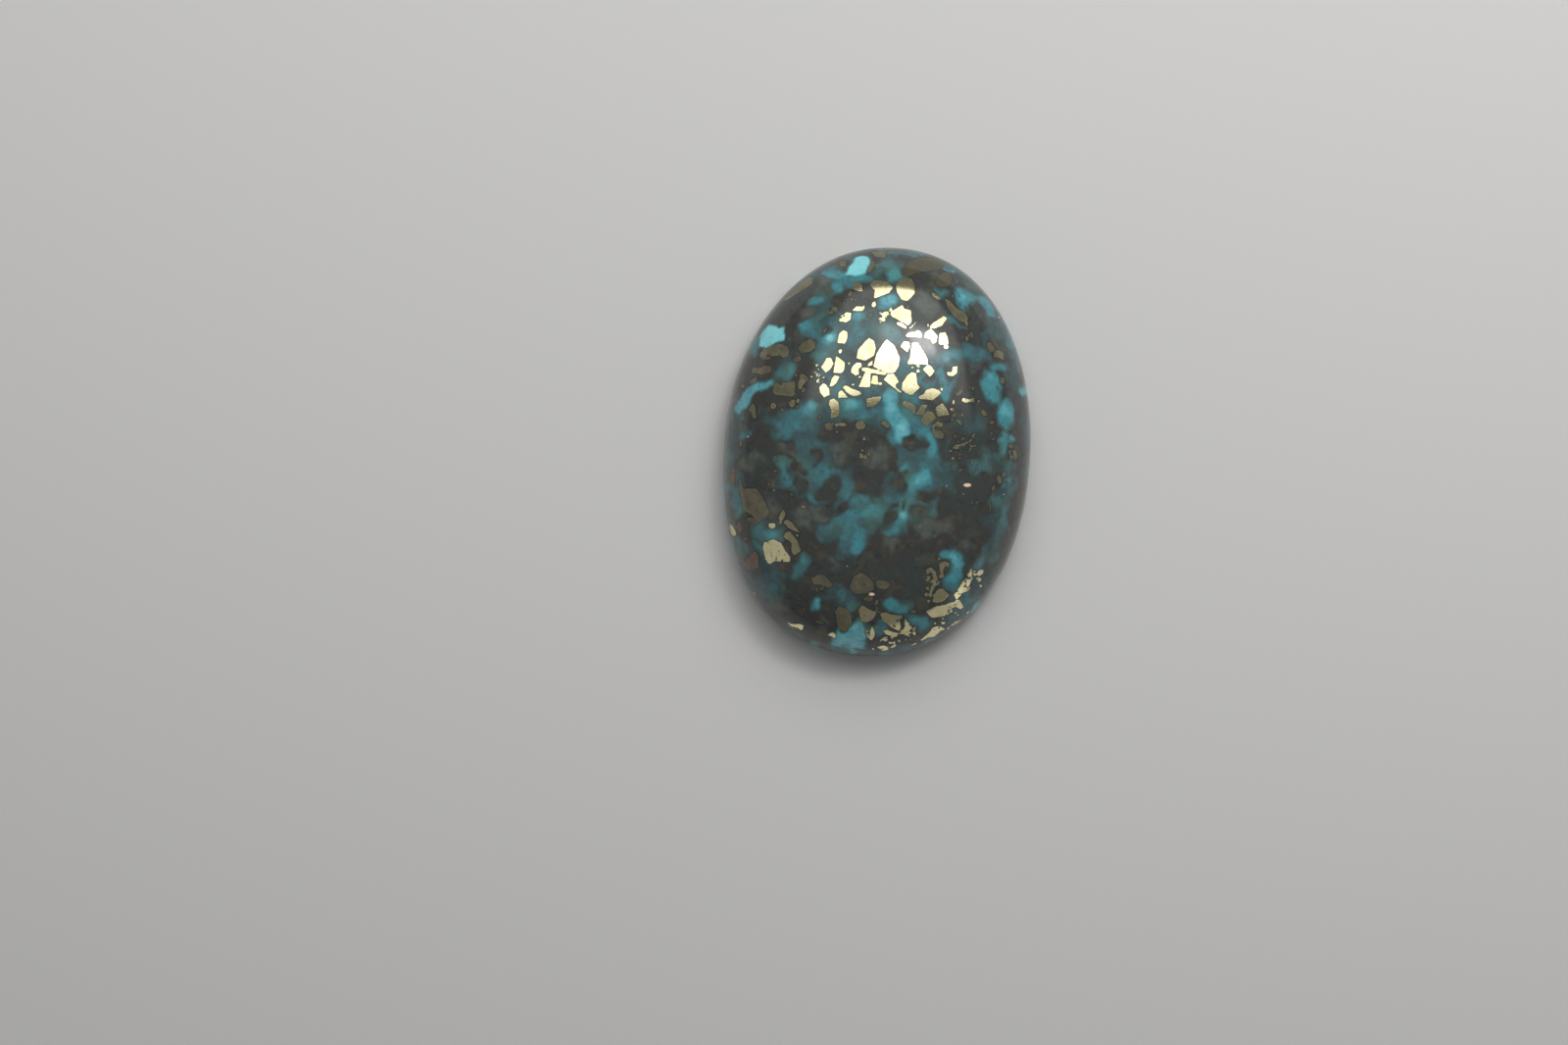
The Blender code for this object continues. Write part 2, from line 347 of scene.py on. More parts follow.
        ((0.1, 13.9), (0.5, 14.5), (1.5, 14.65), (1.85, 14.3), (1.6, 13.7), (1.1, 13.3), (0.15, 13.2)),
        ((-2.0, 12.6, 0.35), (-1.4, 12.6, 0.4)),
        ((-4.8, 16.6, 0.3), (-4.0, 16.6, 0.4), (-3.1, 16.4, 0.3)),
        ((-3.8, 15.2, 0.25), (-3.4, 15.2, 0.28)),
        ((-6.1, 13.85, 0.3), (-5.4, 14.0, 0.22)),
        ((-7.1, 11.7, 0.3), (-6.6, 11.65, 0.35)),
        ((6.1, -9.6, 0.3), (7.0, -9.7, 0.4), (7.5, -10.4, 0.5), (7.4, -11.2, 0.5), (7.0, -11.8, 0.4)),
        ((1.1, -13.9, 0.35), (1.7, -14.3, 0.45), (2.3, -14.6, 0.35)),
        ((1.3, 16.2, 0.3), (1.7, 16.6, 0.35)),
        ((2.5, -5.4, 0.35), (2.5, -5.9, 0.42), (2.1, -6.5, 0.3)),
        ((1.8, -7.1, 0.2),),
        ((-2.0, -8.2, 0.4), (-1.8, -9.0, 0.45)),
        ((-9.9, -7.7, 0.25),),
        ((-0.9, -5.7, 0.35), (-0.2, -5.4, 0.35)),
        ((-6.9, -10.0, 0.25),),
        ((-5.6, -13.9, 0.3), (-5.6, -14.4, 0.32)),
        ((3.7, -15.6, 0.35), (4.2, -15.75, 0.4)),
        ((-6.2, -4.2, 0.15),),
        ((2.45, -1.55, 0.2),),
    ),
    "bright": (
        ((-9.85, 6.35, 0.2), (-10.5, 6.15, 0.3), (-11.3, 5.9, 0.36), (-11.9, 5.3, 0.4), (-12.4, 4.6, 0.38)),
        ((-12.4, 4.6, 0.38), (-12.85, 3.95, 0.28)),
        ((10.4, 6.9, 0.15),),
        (
            (1.2, 5.3, 0.5), (1.25, 4.4, 0.55), (1.5, 3.4, 0.62),
            (2.1, 2.5, 0.75), (2.35, 1.9, 0.6), (2.15, 1.3, 0.4),
        ),
        ((-5.6, -13.95, 0.2), (-5.6, -14.35, 0.22)),
        ((6.9, -9.75, 0.2), (7.5, -10.5, 0.3)),
        ((4.5, -2.1, 0.3), (4.0, -2.6, 0.3)),
        ((11.8, 4.1, 0.22), (11.9, 3.5, 0.25)),
        ((-6.1, 4.2, 0.25),),
        ((2.5, -5.8, 0.25),),
        ((0.6, 14.0, 0.3), (1.3, 14.1, 0.3)),
        ((-1.6, 12.7, 0.2),),
        ((-4.6, 10.4, 0.4), (-4.1, 10.6, 0.4)),
        ((8.0, 14.4, 0.22),),
        ((-2.6, 4.5, 0.2), (-2.1, 4.5, 0.2)),
    ),
    "light": (
        (
            (-3.95, -17.1), (-3.6, -16.5), (-3.1, -16.75), (-2.6, -16.6), (-2.2, -16.1),
            (-1.8, -15.7), (-1.4, -16.0), (-1.15, -16.5), (-1.1, -17.2), (-0.95, -17.9),
            (-1.2, -18.4), (-2.2, -18.8), (-3.2, -18.8), (-3.9, -18.3), (-4.05, -17.6),
        ),
        ((2.1, 2.4, 0.3), (2.2, 1.8, 0.45)),
        ((1.2, 4.8, 0.22), (1.3, 4.1, 0.25)),
        ((2.5, -5.8, 0.2),),
    ),
    "pale": (
        (
            (-2.85, 16.55), (-2.65, 17.0), (-2.3, 17.45), (-1.95, 17.95), (-1.3, 18.15), (-0.75, 17.95),
            (-0.6, 17.6), (-0.85, 17.2), (-1.05, 16.75), (-1.5, 16.5), (-2.2, 16.45),
        ),
        (
            (-10.85, 10.6), (-10.75, 10.9), (-10.45, 11.4), (-10.15, 11.75), (-9.85, 11.65), (-9.4, 11.55),
            (-9.1, 11.35), (-8.65, 11.65), (-8.75, 11.0), (-8.6, 10.85), (-8.65, 10.5), (-9.0, 10.35),
            (-9.5, 10.2), (-9.9, 9.95), (-10.4, 9.7), (-10.75, 9.85),
        ),
        ((6.2, 17.3, 0.2), (7.0, 16.95, 0.24)),
        ((-4.4, 10.5, 0.24),),
    ),
}
# Dark rock left inside the turquoise
ROCK_ISLANDS = (
    ((2.2, -3.1, 0.65), (2.3, -3.3, 0.6)),
    ((0.8, -5.85, 0.35), (1.5, -5.85, 0.4)),
    ((4.3, -4.3, 0.4), (4.8, -4.2, 0.3)),
    ((3.5, -5.4, 0.25), (4.2, -5.6, 0.2)),
    ((3.3, 1.4, 0.35), (3.1, 0.9, 0.45), (3.8, 0.75, 0.4), (4.3, 0.55, 0.25)),
    ((-4.2, -3.1, 0.6), (-4.7, -3.9, 0.7)),
    ((-0.6, -3.1, 1.1), (-0.8, -1.9, 1.0)),
    ((-7.8, -1.4, 0.45), (-7.0, -1.5, 0.4)),
    ((-7.1, -2.8, 0.4), (-6.9, -3.5, 0.3)),
    ((-5.6, -0.3, 0.25), (-5.6, -0.8, 0.2)),
    ((-8.3, 0.7, 0.6), (-7.9, -0.1, 0.5)),
    ((0.6, -8.6, 0.9), (-0.3, -10.2, 1.2)),
    ((-8.8, 4.6, 0.7), (-10.2, 5.0, 0.4)),
    ((9.2, 11.2, 0.7), (8.8, 12.4, 0.5)),
    ((4.6, 16.0, 0.6), (4.2, 12.9, 0.7), (5.2, 13.6, 0.8)),
    ((1.3, -4.75, 0.15), (1.6, -4.7, 0.1)),
    ((2.45, -4.95, 0.16),),
    ((-1.9, 14.4, 0.8), (-3.0, 13.9, 0.7)),
    ((-3.1, 1.4, 0.5), (-2.4, 2.0, 0.6), (-0.8, 1.0, 1.2), (0.8, -0.4, 0.8)),
    ((-4.9, 1.4, 0.5), (-4.4, 1.9, 0.3)),
    ((8.2, 7.0, 0.9), (8.8, 5.4, 0.9), (9.2, 4.0, 0.6)),
    ((7.6, 10.8, 0.7), (8.8, 10.8, 0.6)),
    ((-7.6, 13.2, 0.9), (-8.8, 12.2, 0.7)),
    ((-7.4, 10.2, 0.8), (-6.7, 9.6, 0.4)),
    ((6.0, -11.0, 0.4), (5.4, -11.6, 0.6)),
    ((4.8, 6.6, 0.2), (5.0, 6.8, 0.15)),
    ((-3.0, -5.1, 0.4),),
    ((-4.9, 15.7, 0.35), (-4.8, 15.1, 0.3)),
    ((4.1, -17.0, 0.3),),
)
GREY_ROCK = (
    ((-5.1, 16.0, 0.5), (-4.9, 15.2, 0.6)),
    ((0.0, -0.2, 0.65), (-0.3, -0.7, 0.4)),
    ((0.4, -1.5, 0.25),),
    ((-3.3, 0.4, 0.4), (-3.4, -0.4, 0.45), (-4.3, -0.2, 0.6)),
    ((-6.6, -0.7, 0.5),),
    ((-5.6, -5.7, 0.8), (-6.6, -6.1, 0.8), (-7.0, -5.6, 0.5)),
    ((3.6, -6.0, 0.5), (4.7, -6.5, 0.7), (6.2, -7.1, 0.5), (7.2, -7.6, 0.25)),
    ((4.6, -7.2, 0.4),),
    ((5.9, -1.3, 0.5), (5.4, -2.5, 0.4), (5.6, -3.6, 0.25)),
    ((1.0, -3.2, 0.3), (0.8, -3.9, 0.3)),
    ((5.2, 9.6, 0.6), (5.8, 9.5, 0.4)),
    ((0.5, 11.8, 0.6), (-0.4, 12.0, 0.4)),
    ((4.4, 13.8, 0.7), (4.9, 13.0, 0.6), (3.9, 14.4, 0.4)),
    ((-12.6, 2.4, 0.35), (-12.6, 1.6, 0.3)),
    ((-3.3, 9.6, 0.5), (-2.7, 9.0, 0.4), (-2.6, 7.6, 0.4), (-3.1, 6.9, 0.5)),
    ((-1.2, 11.4, 0.5),),
    ((1.4, -8.4, 0.5),),
    ((-4.2, -10.1, 0.3), (-3.7, -10.6, 0.15)),
    ((-5.3, -15.8, 0.2), (-4.9, -15.9, 0.15)),
    ((8.4, -8.6, 0.3),),
    ((9.5, -12.3, 0.3),),
    ((9.7, 2.6, 0.3),),
    ((-9.4, -5.1, 0.25),),
    ((-9.3, -2.6, 0.3),),
    ((-8.4, 0.6, 0.3), (-7.6, -0.2, 0.3)),
    ((-9.4, -13.6, 0.5), (-9.0, -14.4, 0.4)),
    ((-11.8, -1.0, 0.6), (-11.0, -0.5, 0.4)),
    ((9.4, 8.4, 0.4), (8.2, 8.1, 0.3)),
    ((-2.2, -4.8, 0.35), (-0.8, -4.5, 0.3)),
    ((-6.2, 12.9, 0.4),),
)
# An outline is a row of corners (x, y).
CLEAN_FLAKES = (
    ((-0.65, 15.45), (-0.3, 15.95), (0.9, 15.75), (1.5, 15.3), (1.1, 14.75), (-0.3, 14.2), (-0.2, 15.0)),
    (
        (1.75, 15.4), (2.1, 15.95), (3.1, 16.1), (3.45, 15.5),
        (3.5, 14.7), (2.85, 14.0), (2.3, 14.1), (1.85, 14.8),
    ),
    ((-2.35, 15.2), (-1.9, 15.75), (-1.45, 15.5), (-1.35, 14.9), (-1.8, 14.95)),
    ((-2.35, 13.1), (-1.9, 13.5), (-1.35, 13.45), (-1.2, 13.7), (-1.15, 13.35), (-1.4, 13.05)),
    ((-3.55, 12.1), (-3.4, 12.6), (-2.8, 12.95), (-2.4, 12.9), (-2.45, 12.3), (-2.9, 12.0)),
    ((0.3, 12.3), (0.35, 12.8), (0.9, 13.1), (1.1, 12.8), (0.95, 12.25), (0.5, 12.1)),
    (
        (1.25, 13.0), (1.8, 13.3), (2.35, 13.65), (2.5, 13.3),
        (3.15, 13.1), (3.2, 12.1), (2.9, 11.75), (1.3, 12.6),
    ),
    ((1.8, 12.0), (2.1, 12.05), (2.75, 11.65), (2.65, 11.4), (1.85, 11.85)),
    ((3.0, 11.5), (3.6, 12.1), (3.68, 12.02), (3.15, 11.45)),
    ((-3.7, 10.1), (-3.5, 11.0), (-3.1, 11.3), (-2.75, 11.1), (-2.75, 10.6), (-2.95, 10.05)),
    (
        (-1.15, 10.2), (-0.75, 10.6), (-0.3, 10.3), (-0.15, 9.6),
        (-0.3, 8.95), (-1.1, 8.45), (-1.9, 8.7), (-1.75, 9.5),
    ),
    (
        (-0.35, 7.9), (-0.05, 9.1), (0.4, 9.8), (0.9, 10.45), (1.6, 9.85),
        (2.1, 8.7), (2.0, 7.9), (1.6, 7.35), (0.9, 7.35),
    ),
    ((-1.5, 7.85), (-0.9, 7.8), (0.8, 7.35), (0.85, 7.1), (-0.3, 7.3), (-1.35, 7.5)),
    ((-0.9, 8.1), (-0.4, 8.5), (-0.45, 8.05), (-0.8, 7.95)),
    (
        (-2.45, 7.4), (-2.3, 7.9), (-1.9, 8.3), (-1.5, 8.25),
        (-1.4, 7.95), (-1.75, 7.7), (-1.65, 7.2), (-2.0, 7.1),
    ),
    ((-1.7, 6.05), (-1.15, 7.35), (-0.6, 7.3), (-0.65, 5.95)),
    ((-0.55, 6.35), (-0.4, 7.1), (0.05, 7.05), (0.1, 6.2)),
    ((0.6, 6.7), (1.0, 7.2), (1.6, 7.2), (2.0, 6.5), (1.65, 6.15), (2.3, 5.5), (2.2, 5.4), (1.4, 6.05)),
    ((-5.2, 7.85), (-4.95, 8.2), (-4.7, 8.7), (-4.3, 8.75), (-4.05, 8.2), (-4.3, 7.7), (-4.75, 7.35)),
    ((-3.8, 8.9), (-3.0, 8.3), (-3.05, 7.6), (-3.3, 7.3), (-4.05, 7.35)),
    ((-4.4, 6.1), (-4.15, 6.9), (-3.9, 7.1), (-3.5, 7.0), (-3.7, 6.5), (-4.1, 6.1)),
    ((-5.35, 6.0), (-5.0, 6.4), (-4.75, 6.25), (-4.45, 5.8), (-4.4, 5.3), (-4.9, 5.05), (-5.3, 5.55)),
    ((-3.6, 5.0), (-3.6, 5.5), (-3.3, 5.75), (-2.7, 5.05)),
    ((-3.2, 6.0), (-2.95, 6.2), (-2.2, 5.8), (-1.7, 5.65), (-1.4, 5.35), (-2.2, 5.15), (-2.8, 5.5)),
    (
        (-4.4, 4.8), (-4.0, 4.95), (-3.6, 4.6), (-3.5, 3.9),
        (-3.6, 3.3), (-4.3, 3.1), (-4.25, 4.0), (-4.5, 4.4),
    ),
    ((-1.0, 4.9), (-0.4, 5.05), (0.4, 5.15), (0.3, 4.8), (-0.2, 4.3), (-0.9, 4.15)),
    ((-2.0, 2.5), (-1.75, 2.85), (-1.35, 2.85), (-1.05, 2.5), (-1.3, 2.15), (-1.8, 2.1)),
    ((0.35, 2.7), (0.7, 2.9), (1.1, 2.5), (1.1, 2.25), (0.8, 2.3)),
    ((2.15, 9.8), (2.5, 10.25), (3.0, 10.2), (3.0, 9.7), (2.8, 9.25)),
    ((3.25, 10.1), (3.75, 10.15), (4.2, 9.4), (4.65, 8.7), (4.7, 8.1), (2.75, 8.15), (3.05, 8.7)),
    ((4.25, 7.65), (4.6, 8.0), (4.95, 8.0), (5.35, 7.5), (4.9, 6.95)),
    (
        (2.35, 6.4), (2.8, 7.1), (3.2, 7.4), (3.6, 7.3), (3.75, 6.2),
        (4.0, 6.0), (3.2, 5.25), (2.6, 5.5), (2.3, 5.8),
    ),
    ((3.75, 5.1), (4.35, 5.35), (4.5, 5.7), (5.1, 5.9), (5.7, 5.75), (5.95, 5.45), (5.2, 4.8), (4.0, 4.9)),
    ((7.0, 7.9), (7.45, 7.95), (7.4, 7.3), (7.0, 7.0), (6.6, 7.1), (6.4, 7.4), (6.95, 7.4)),
    ((5.7, 10.2), (5.8, 11.0), (6.35, 11.1), (6.55, 10.6), (6.6, 10.0), (5.8, 9.95)),
    ((4.4, 10.6), (4.5, 11.1), (5.0, 11.4), (5.3, 11.1), (5.6, 10.8), (5.5, 10.2), (5.2, 10.05), (4.9, 10.5)),
    ((2.6, 10.7), (2.9, 11.05), (3.5, 11.1), (3.8, 11.3), (4.1, 11.1), (4.1, 10.65)),
    ((4.8, 11.5), (5.1, 11.9), (6.2, 12.6), (6.5, 12.4), (6.0, 11.7), (5.3, 11.45)),
    ((5.0, 14.7), (5.3, 14.75), (5.95, 14.25), (5.8, 14.1), (5.4, 14.3)),
    ((2.35, 4.4), (2.5, 4.75), (3.1, 4.5), (3.6, 4.2), (3.45, 3.5), (3.2, 3.9), (2.6, 4.2)),
    ((3.6, 3.5), (3.95, 4.0), (4.1, 4.35), (4.7, 4.35), (4.4, 3.9), (4.3, 3.45)),
    ((4.1, 3.0), (4.6, 3.75), (5.1, 3.7), (5.5, 3.1), (5.1, 2.85), (4.6, 2.45), (4.2, 2.65)),
    ((5.45, 4.1), (6.05, 4.5), (6.5, 3.9), (6.65, 3.45), (5.7, 3.3), (5.5, 3.7)),
    ((5.3, 2.5), (5.6, 2.8), (6.1, 2.6), (6.0, 2.3)),
    ((7.85, 4.7), (7.95, 5.0), (8.6, 4.85), (8.95, 5.0), (9.05, 4.75), (8.2, 4.55)),
    ((9.65, 3.7), (9.85, 3.9), (10.15, 3.6), (10.1, 3.35), (9.85, 3.4)),
    ((-7.35, 6.35), (-7.0, 6.7), (-6.7, 6.5), (-7.2, 5.75)),
    ((-9.85, 4.4), (-9.6, 4.55), (-9.35, 4.3), (-9.5, 4.0), (-9.85, 4.05)),
    ((-8.1, 4.3), (-7.75, 4.8), (-7.6, 4.8), (-7.7, 4.2), (-7.95, 4.15)),
    ((-10.15, -6.85), (-9.95, -6.6), (-9.45, -6.65), (-9.4, -6.95), (-9.75, -7.15)),
    ((-8.95, -5.7), (-8.7, -5.4), (-8.5, -5.7), (-8.65, -6.1), (-8.9, -6.5), (-9.1, -6.2)),
    ((-8.7, -6.5), (-8.4, -6.3), (-8.0, -6.5), (-7.5, -7.1), (-7.2, -7.45), (-7.7, -7.3), (-8.3, -6.95)),
    (
        (-8.65, -7.9), (-8.5, -7.5), (-8.1, -7.4), (-7.4, -8.3),
        (-7.1, -9.2), (-7.7, -9.6), (-7.95, -9.2), (-7.9, -8.4),
    ),
    (
        (-10.5, -8.4), (-9.6, -8.1), (-8.9, -8.45), (-8.5, -9.2), (-8.05, -9.7),
        (-8.1, -10.2), (-9.6, -10.15), (-10.0, -10.45), (-10.35, -10.0), (-10.6, -8.8),
    ),
    ((-1.7, -14.7), (-1.4, -14.2), (-0.8, -14.6), (-0.1, -14.9), (-0.3, -15.4), (-0.9, -15.8), (-1.5, -15.7)),
    (
        (0.3, -15.0), (0.8, -14.9), (1.3, -15.1), (2.4, -15.2), (2.1, -15.6),
        (2.2, -16.2), (2.0, -16.6), (1.4, -16.3), (0.5, -15.6),
    ),
    ((2.5, -15.3), (3.0, -16.0), (3.1, -16.6), (2.9, -17.1), (2.15, -16.85), (2.6, -16.2)),
    ((0.5, -16.6), (0.9, -16.5), (1.5, -16.7), (2.0, -16.9), (1.7, -17.2), (0.8, -16.9)),
    ((-0.8, -17.3), (-0.6, -16.5), (-0.4, -16.0), (-0.2, -16.9), (-0.45, -17.5)),
    ((0.1, -18.4), (0.3, -18.0), (0.7, -17.95), (1.1, -18.35), (0.6, -18.5)),
    (
        (4.5, -14.8), (5.5, -14.3), (6.3, -14.2), (7.0, -13.9), (7.6, -13.65), (8.05, -14.4),
        (7.7, -14.6), (7.3, -14.35), (6.7, -14.6), (6.3, -15.2), (5.1, -15.4),
    ),
    ((5.1, -13.9), (5.6, -12.7), (6.1, -12.7), (6.7, -13.3), (6.2, -13.8), (5.6, -14.0)),
    ((4.8, -13.4), (5.05, -12.4), (5.4, -12.3), (5.15, -12.9), (5.05, -13.5)),
    (
        (7.1, -13.3), (7.6, -12.6), (8.0, -11.9), (8.5, -11.9),
        (8.75, -12.4), (8.5, -12.85), (7.9, -13.1), (7.4, -13.7),
    ),
    ((8.3, -11.4), (8.5, -11.2), (8.85, -11.7), (8.5, -11.5)),
    (
        (4.1, -17.4), (4.8, -16.8), (5.2, -16.25), (5.8, -16.15),
        (6.4, -16.45), (5.9, -16.6), (5.3, -17.2), (4.7, -17.2),
    ),
    ((9.2, -11.4), (9.45, -10.95), (9.85, -10.95), (9.85, -11.25), (9.5, -11.5)),
    ((4.5, -10.95), (5.0, -10.7), (5.35, -11.05), (5.1, -11.2), (4.85, -11.1), (4.7, -11.35)),
    ((5.15, -11.25), (5.4, -11.1), (5.6, -11.9), (5.3, -12.0)),
    ((5.8, -10.4), (6.2, -10.15), (6.7, -10.3), (6.6, -10.7), (6.25, -10.6), (6.05, -11.3), (5.85, -11.2)),
    ((5.65, -11.5), (6.1, -11.2), (6.2, -11.5), (5.9, -11.8)),
    ((4.5, -12.6), (4.8, -12.45), (4.75, -12.85)),
    ((4.4, -13.1), (4.65, -13.0), (4.7, -13.4), (4.45, -13.4)),
    ((5.25, -13.2), (5.4, -13.2), (5.35, -13.65), (5.2, -13.5)),
    ((4.6, -13.75), (4.95, -13.75), (4.8, -14.05)),
    (
        (-8.4, -15.75), (-8.0, -15.95), (-7.2, -15.95), (-6.8, -16.1),
        (-6.95, -16.6), (-7.4, -16.3), (-8.0, -16.2),
    ),
    ((-4.7, -17.0), (-4.1, -16.7), (-3.8, -16.9), (-3.9, -17.35), (-4.2, -17.1)),
)
# Flakes at the rim and just beyond the lamp's reflection, given an olive colour and nearly no mirror as
# painted shade, in place of the dim surroundings they would mirror
SHADED_OLIVE_FLAKES = (
    ((-0.5, 18.6), (0.75, 18.6), (0.8, 18.0), (-0.15, 18.1)),
    ((7.15, 5.25), (7.6, 5.6), (7.85, 5.85), (8.0, 5.6), (7.6, 5.2)),
    ((10.2, 10.1), (10.5, 10.2), (11.0, 9.5), (10.5, 9.25), (10.25, 9.6)),
    ((10.85, 9.3), (11.3, 9.45), (11.75, 9.2), (11.75, 8.5), (11.3, 8.75), (10.8, 8.8)),
    ((11.4, 6.8), (11.6, 6.95), (11.85, 6.8), (11.8, 6.35), (11.45, 6.35)),
    (
        (6.25, 14.3), (6.8, 13.95), (7.4, 13.3), (8.1, 12.95), (8.45, 12.45),
        (8.3, 12.0), (7.6, 12.15), (7.0, 12.7), (6.5, 13.5),
    ),
    (
        (-8.9, 14.0), (-8.0, 14.9), (-7.1, 15.8), (-6.3, 16.3), (-5.85, 16.1),
        (-6.1, 15.5), (-6.9, 15.0), (-7.6, 14.6), (-8.3, 14.1),
    ),
    (
        (-11.0, 9.0), (-10.6, 9.4), (-9.9, 9.75), (-9.2, 10.05), (-8.4, 9.9), (-8.15, 9.3),
        (-8.3, 8.85), (-8.7, 8.75), (-9.0, 8.95), (-9.6, 8.85), (-10.1, 9.05), (-10.6, 8.7),
    ),
    ((-9.45, 6.4), (-8.5, 6.45), (-7.65, 6.6), (-7.6, 5.8), (-7.75, 5.15), (-9.5, 5.3), (-9.7, 5.6)),
    (
        (-11.7, 7.3), (-11.5, 7.9), (-10.9, 7.75), (-10.3, 8.05), (-9.8, 7.9),
        (-9.9, 7.3), (-10.3, 7.35), (-10.6, 7.1), (-11.1, 7.3),
    ),
    ((-11.8, 6.5), (-11.5, 6.85), (-11.1, 6.9), (-11.25, 6.4), (-11.6, 6.3)),
    ((-11.9, 3.9), (-11.6, 4.5), (-11.35, 4.3), (-11.2, 3.1), (-11.5, 3.1), (-11.6, 3.5)),
    ((12.1, 0.5), (12.3, 0.8), (12.6, 0.6), (12.4, 0.35)),
    ((12.6, 0.2), (12.9, 0.1), (13.0, -0.6), (12.75, -0.8)),
    ((11.1, -2.3), (11.3, -2.1), (11.6, -2.6), (11.5, -2.95), (11.2, -2.9)),
    ((-3.9, -14.8), (-3.5, -14.3), (-2.8, -14.6), (-2.4, -15.2), (-2.3, -16.0), (-3.0, -16.7), (-3.6, -16.4)),
)
RUSTY_FLAKES = (
    ((-13.6, -1.7), (-13.3, -1.4), (-13.15, -2.0), (-13.3, -3.0), (-13.6, -2.9)),
    ((-13.0, -6.9), (-12.8, -6.4), (-12.5, -7.1), (-12.8, -7.6)),
    ((-12.6, -10.5), (-12.0, -9.9), (-11.35, -9.2), (-11.0, -9.6), (-11.05, -10.8), (-11.9, -10.9)),
)
# Flakes painted darker as painted shade: flakes at the top rim that mirror dim surroundings
SHADED_DARK_FLAKES = (
    (
        (2.2, 16.8), (2.9, 17.6), (3.8, 18.0), (5.0, 18.1), (5.8, 17.9), (6.3, 17.4),
        (6.1, 17.0), (5.0, 16.8), (4.0, 16.7), (2.9, 16.3), (2.3, 16.4),
    ),
    ((5.4, 15.6), (5.6, 16.2), (6.1, 16.65), (6.8, 16.65), (6.95, 16.0), (6.75, 15.35), (5.9, 15.25)),
)
# Dull flakes: partly tarnished pyrite, and partly painted shade, olive and without mirror where a flake lies
# beyond the lamp's reflection
DULL_AND_SHADED_FLAKES = (
    ((-3.5, 17.75), (-2.9, 17.75), (-2.85, 17.2), (-3.5, 17.25)),
    ((-0.1, 17.9), (-0.35, 17.0), (-0.9, 16.4), (-0.95, 16.8), (-0.55, 17.6)),
    ((-4.3, 13.3), (-3.9, 13.55), (-3.6, 13.2), (-3.85, 12.95)),
    ((-5.0, 11.3), (-4.6, 11.55), (-4.75, 11.1), (-5.0, 10.9)),
    ((-7.35, 9.6), (-6.9, 10.2), (-6.2, 10.45), (-5.7, 10.2), (-5.75, 9.6), (-6.3, 9.25), (-7.0, 9.2)),
    ((5.0, 2.0), (5.9, 2.0), (6.2, 1.6), (6.1, 1.2), (5.4, 1.3)),
    (
        (-12.8, -3.4), (-11.2, -3.4), (-10.6, -4.2), (-10.0, -5.6),
        (-10.3, -6.1), (-11.1, -6.5), (-11.4, -6.0), (-12.4, -5.4),
    ),
    ((-12.2, -6.1), (-11.6, -6.1), (-11.0, -6.6), (-11.3, -6.8), (-11.9, -6.5)),
    ((-12.85, -2.5), (-12.7, -2.5), (-12.1, -4.7), (-12.35, -4.7), (-12.7, -3.8)),
    (
        (-6.1, -11.8), (-5.5, -11.35), (-4.9, -11.4), (-4.1, -12.3),
        (-4.4, -12.6), (-5.3, -12.3), (-5.9, -12.3),
    ),
    (
        (-2.6, -12.6), (-2.2, -11.6), (-1.5, -11.2), (-0.8, -11.6),
        (-0.3, -12.2), (-0.3, -12.8), (-1.0, -13.1), (-2.0, -13.2),
    ),
    ((-0.1, -12.0), (0.3, -11.85), (1.0, -12.0), (1.25, -12.4), (0.8, -12.75), (0.0, -12.6)),
    ((-1.3, -13.6), (-0.8, -13.35), (-0.3, -13.6), (-0.8, -13.9)),
    ((-4.9, 2.5), (-4.5, 2.75), (-4.15, 2.5), (-4.1, 2.0), (-4.4, 1.9), (-4.75, 2.15)),
)
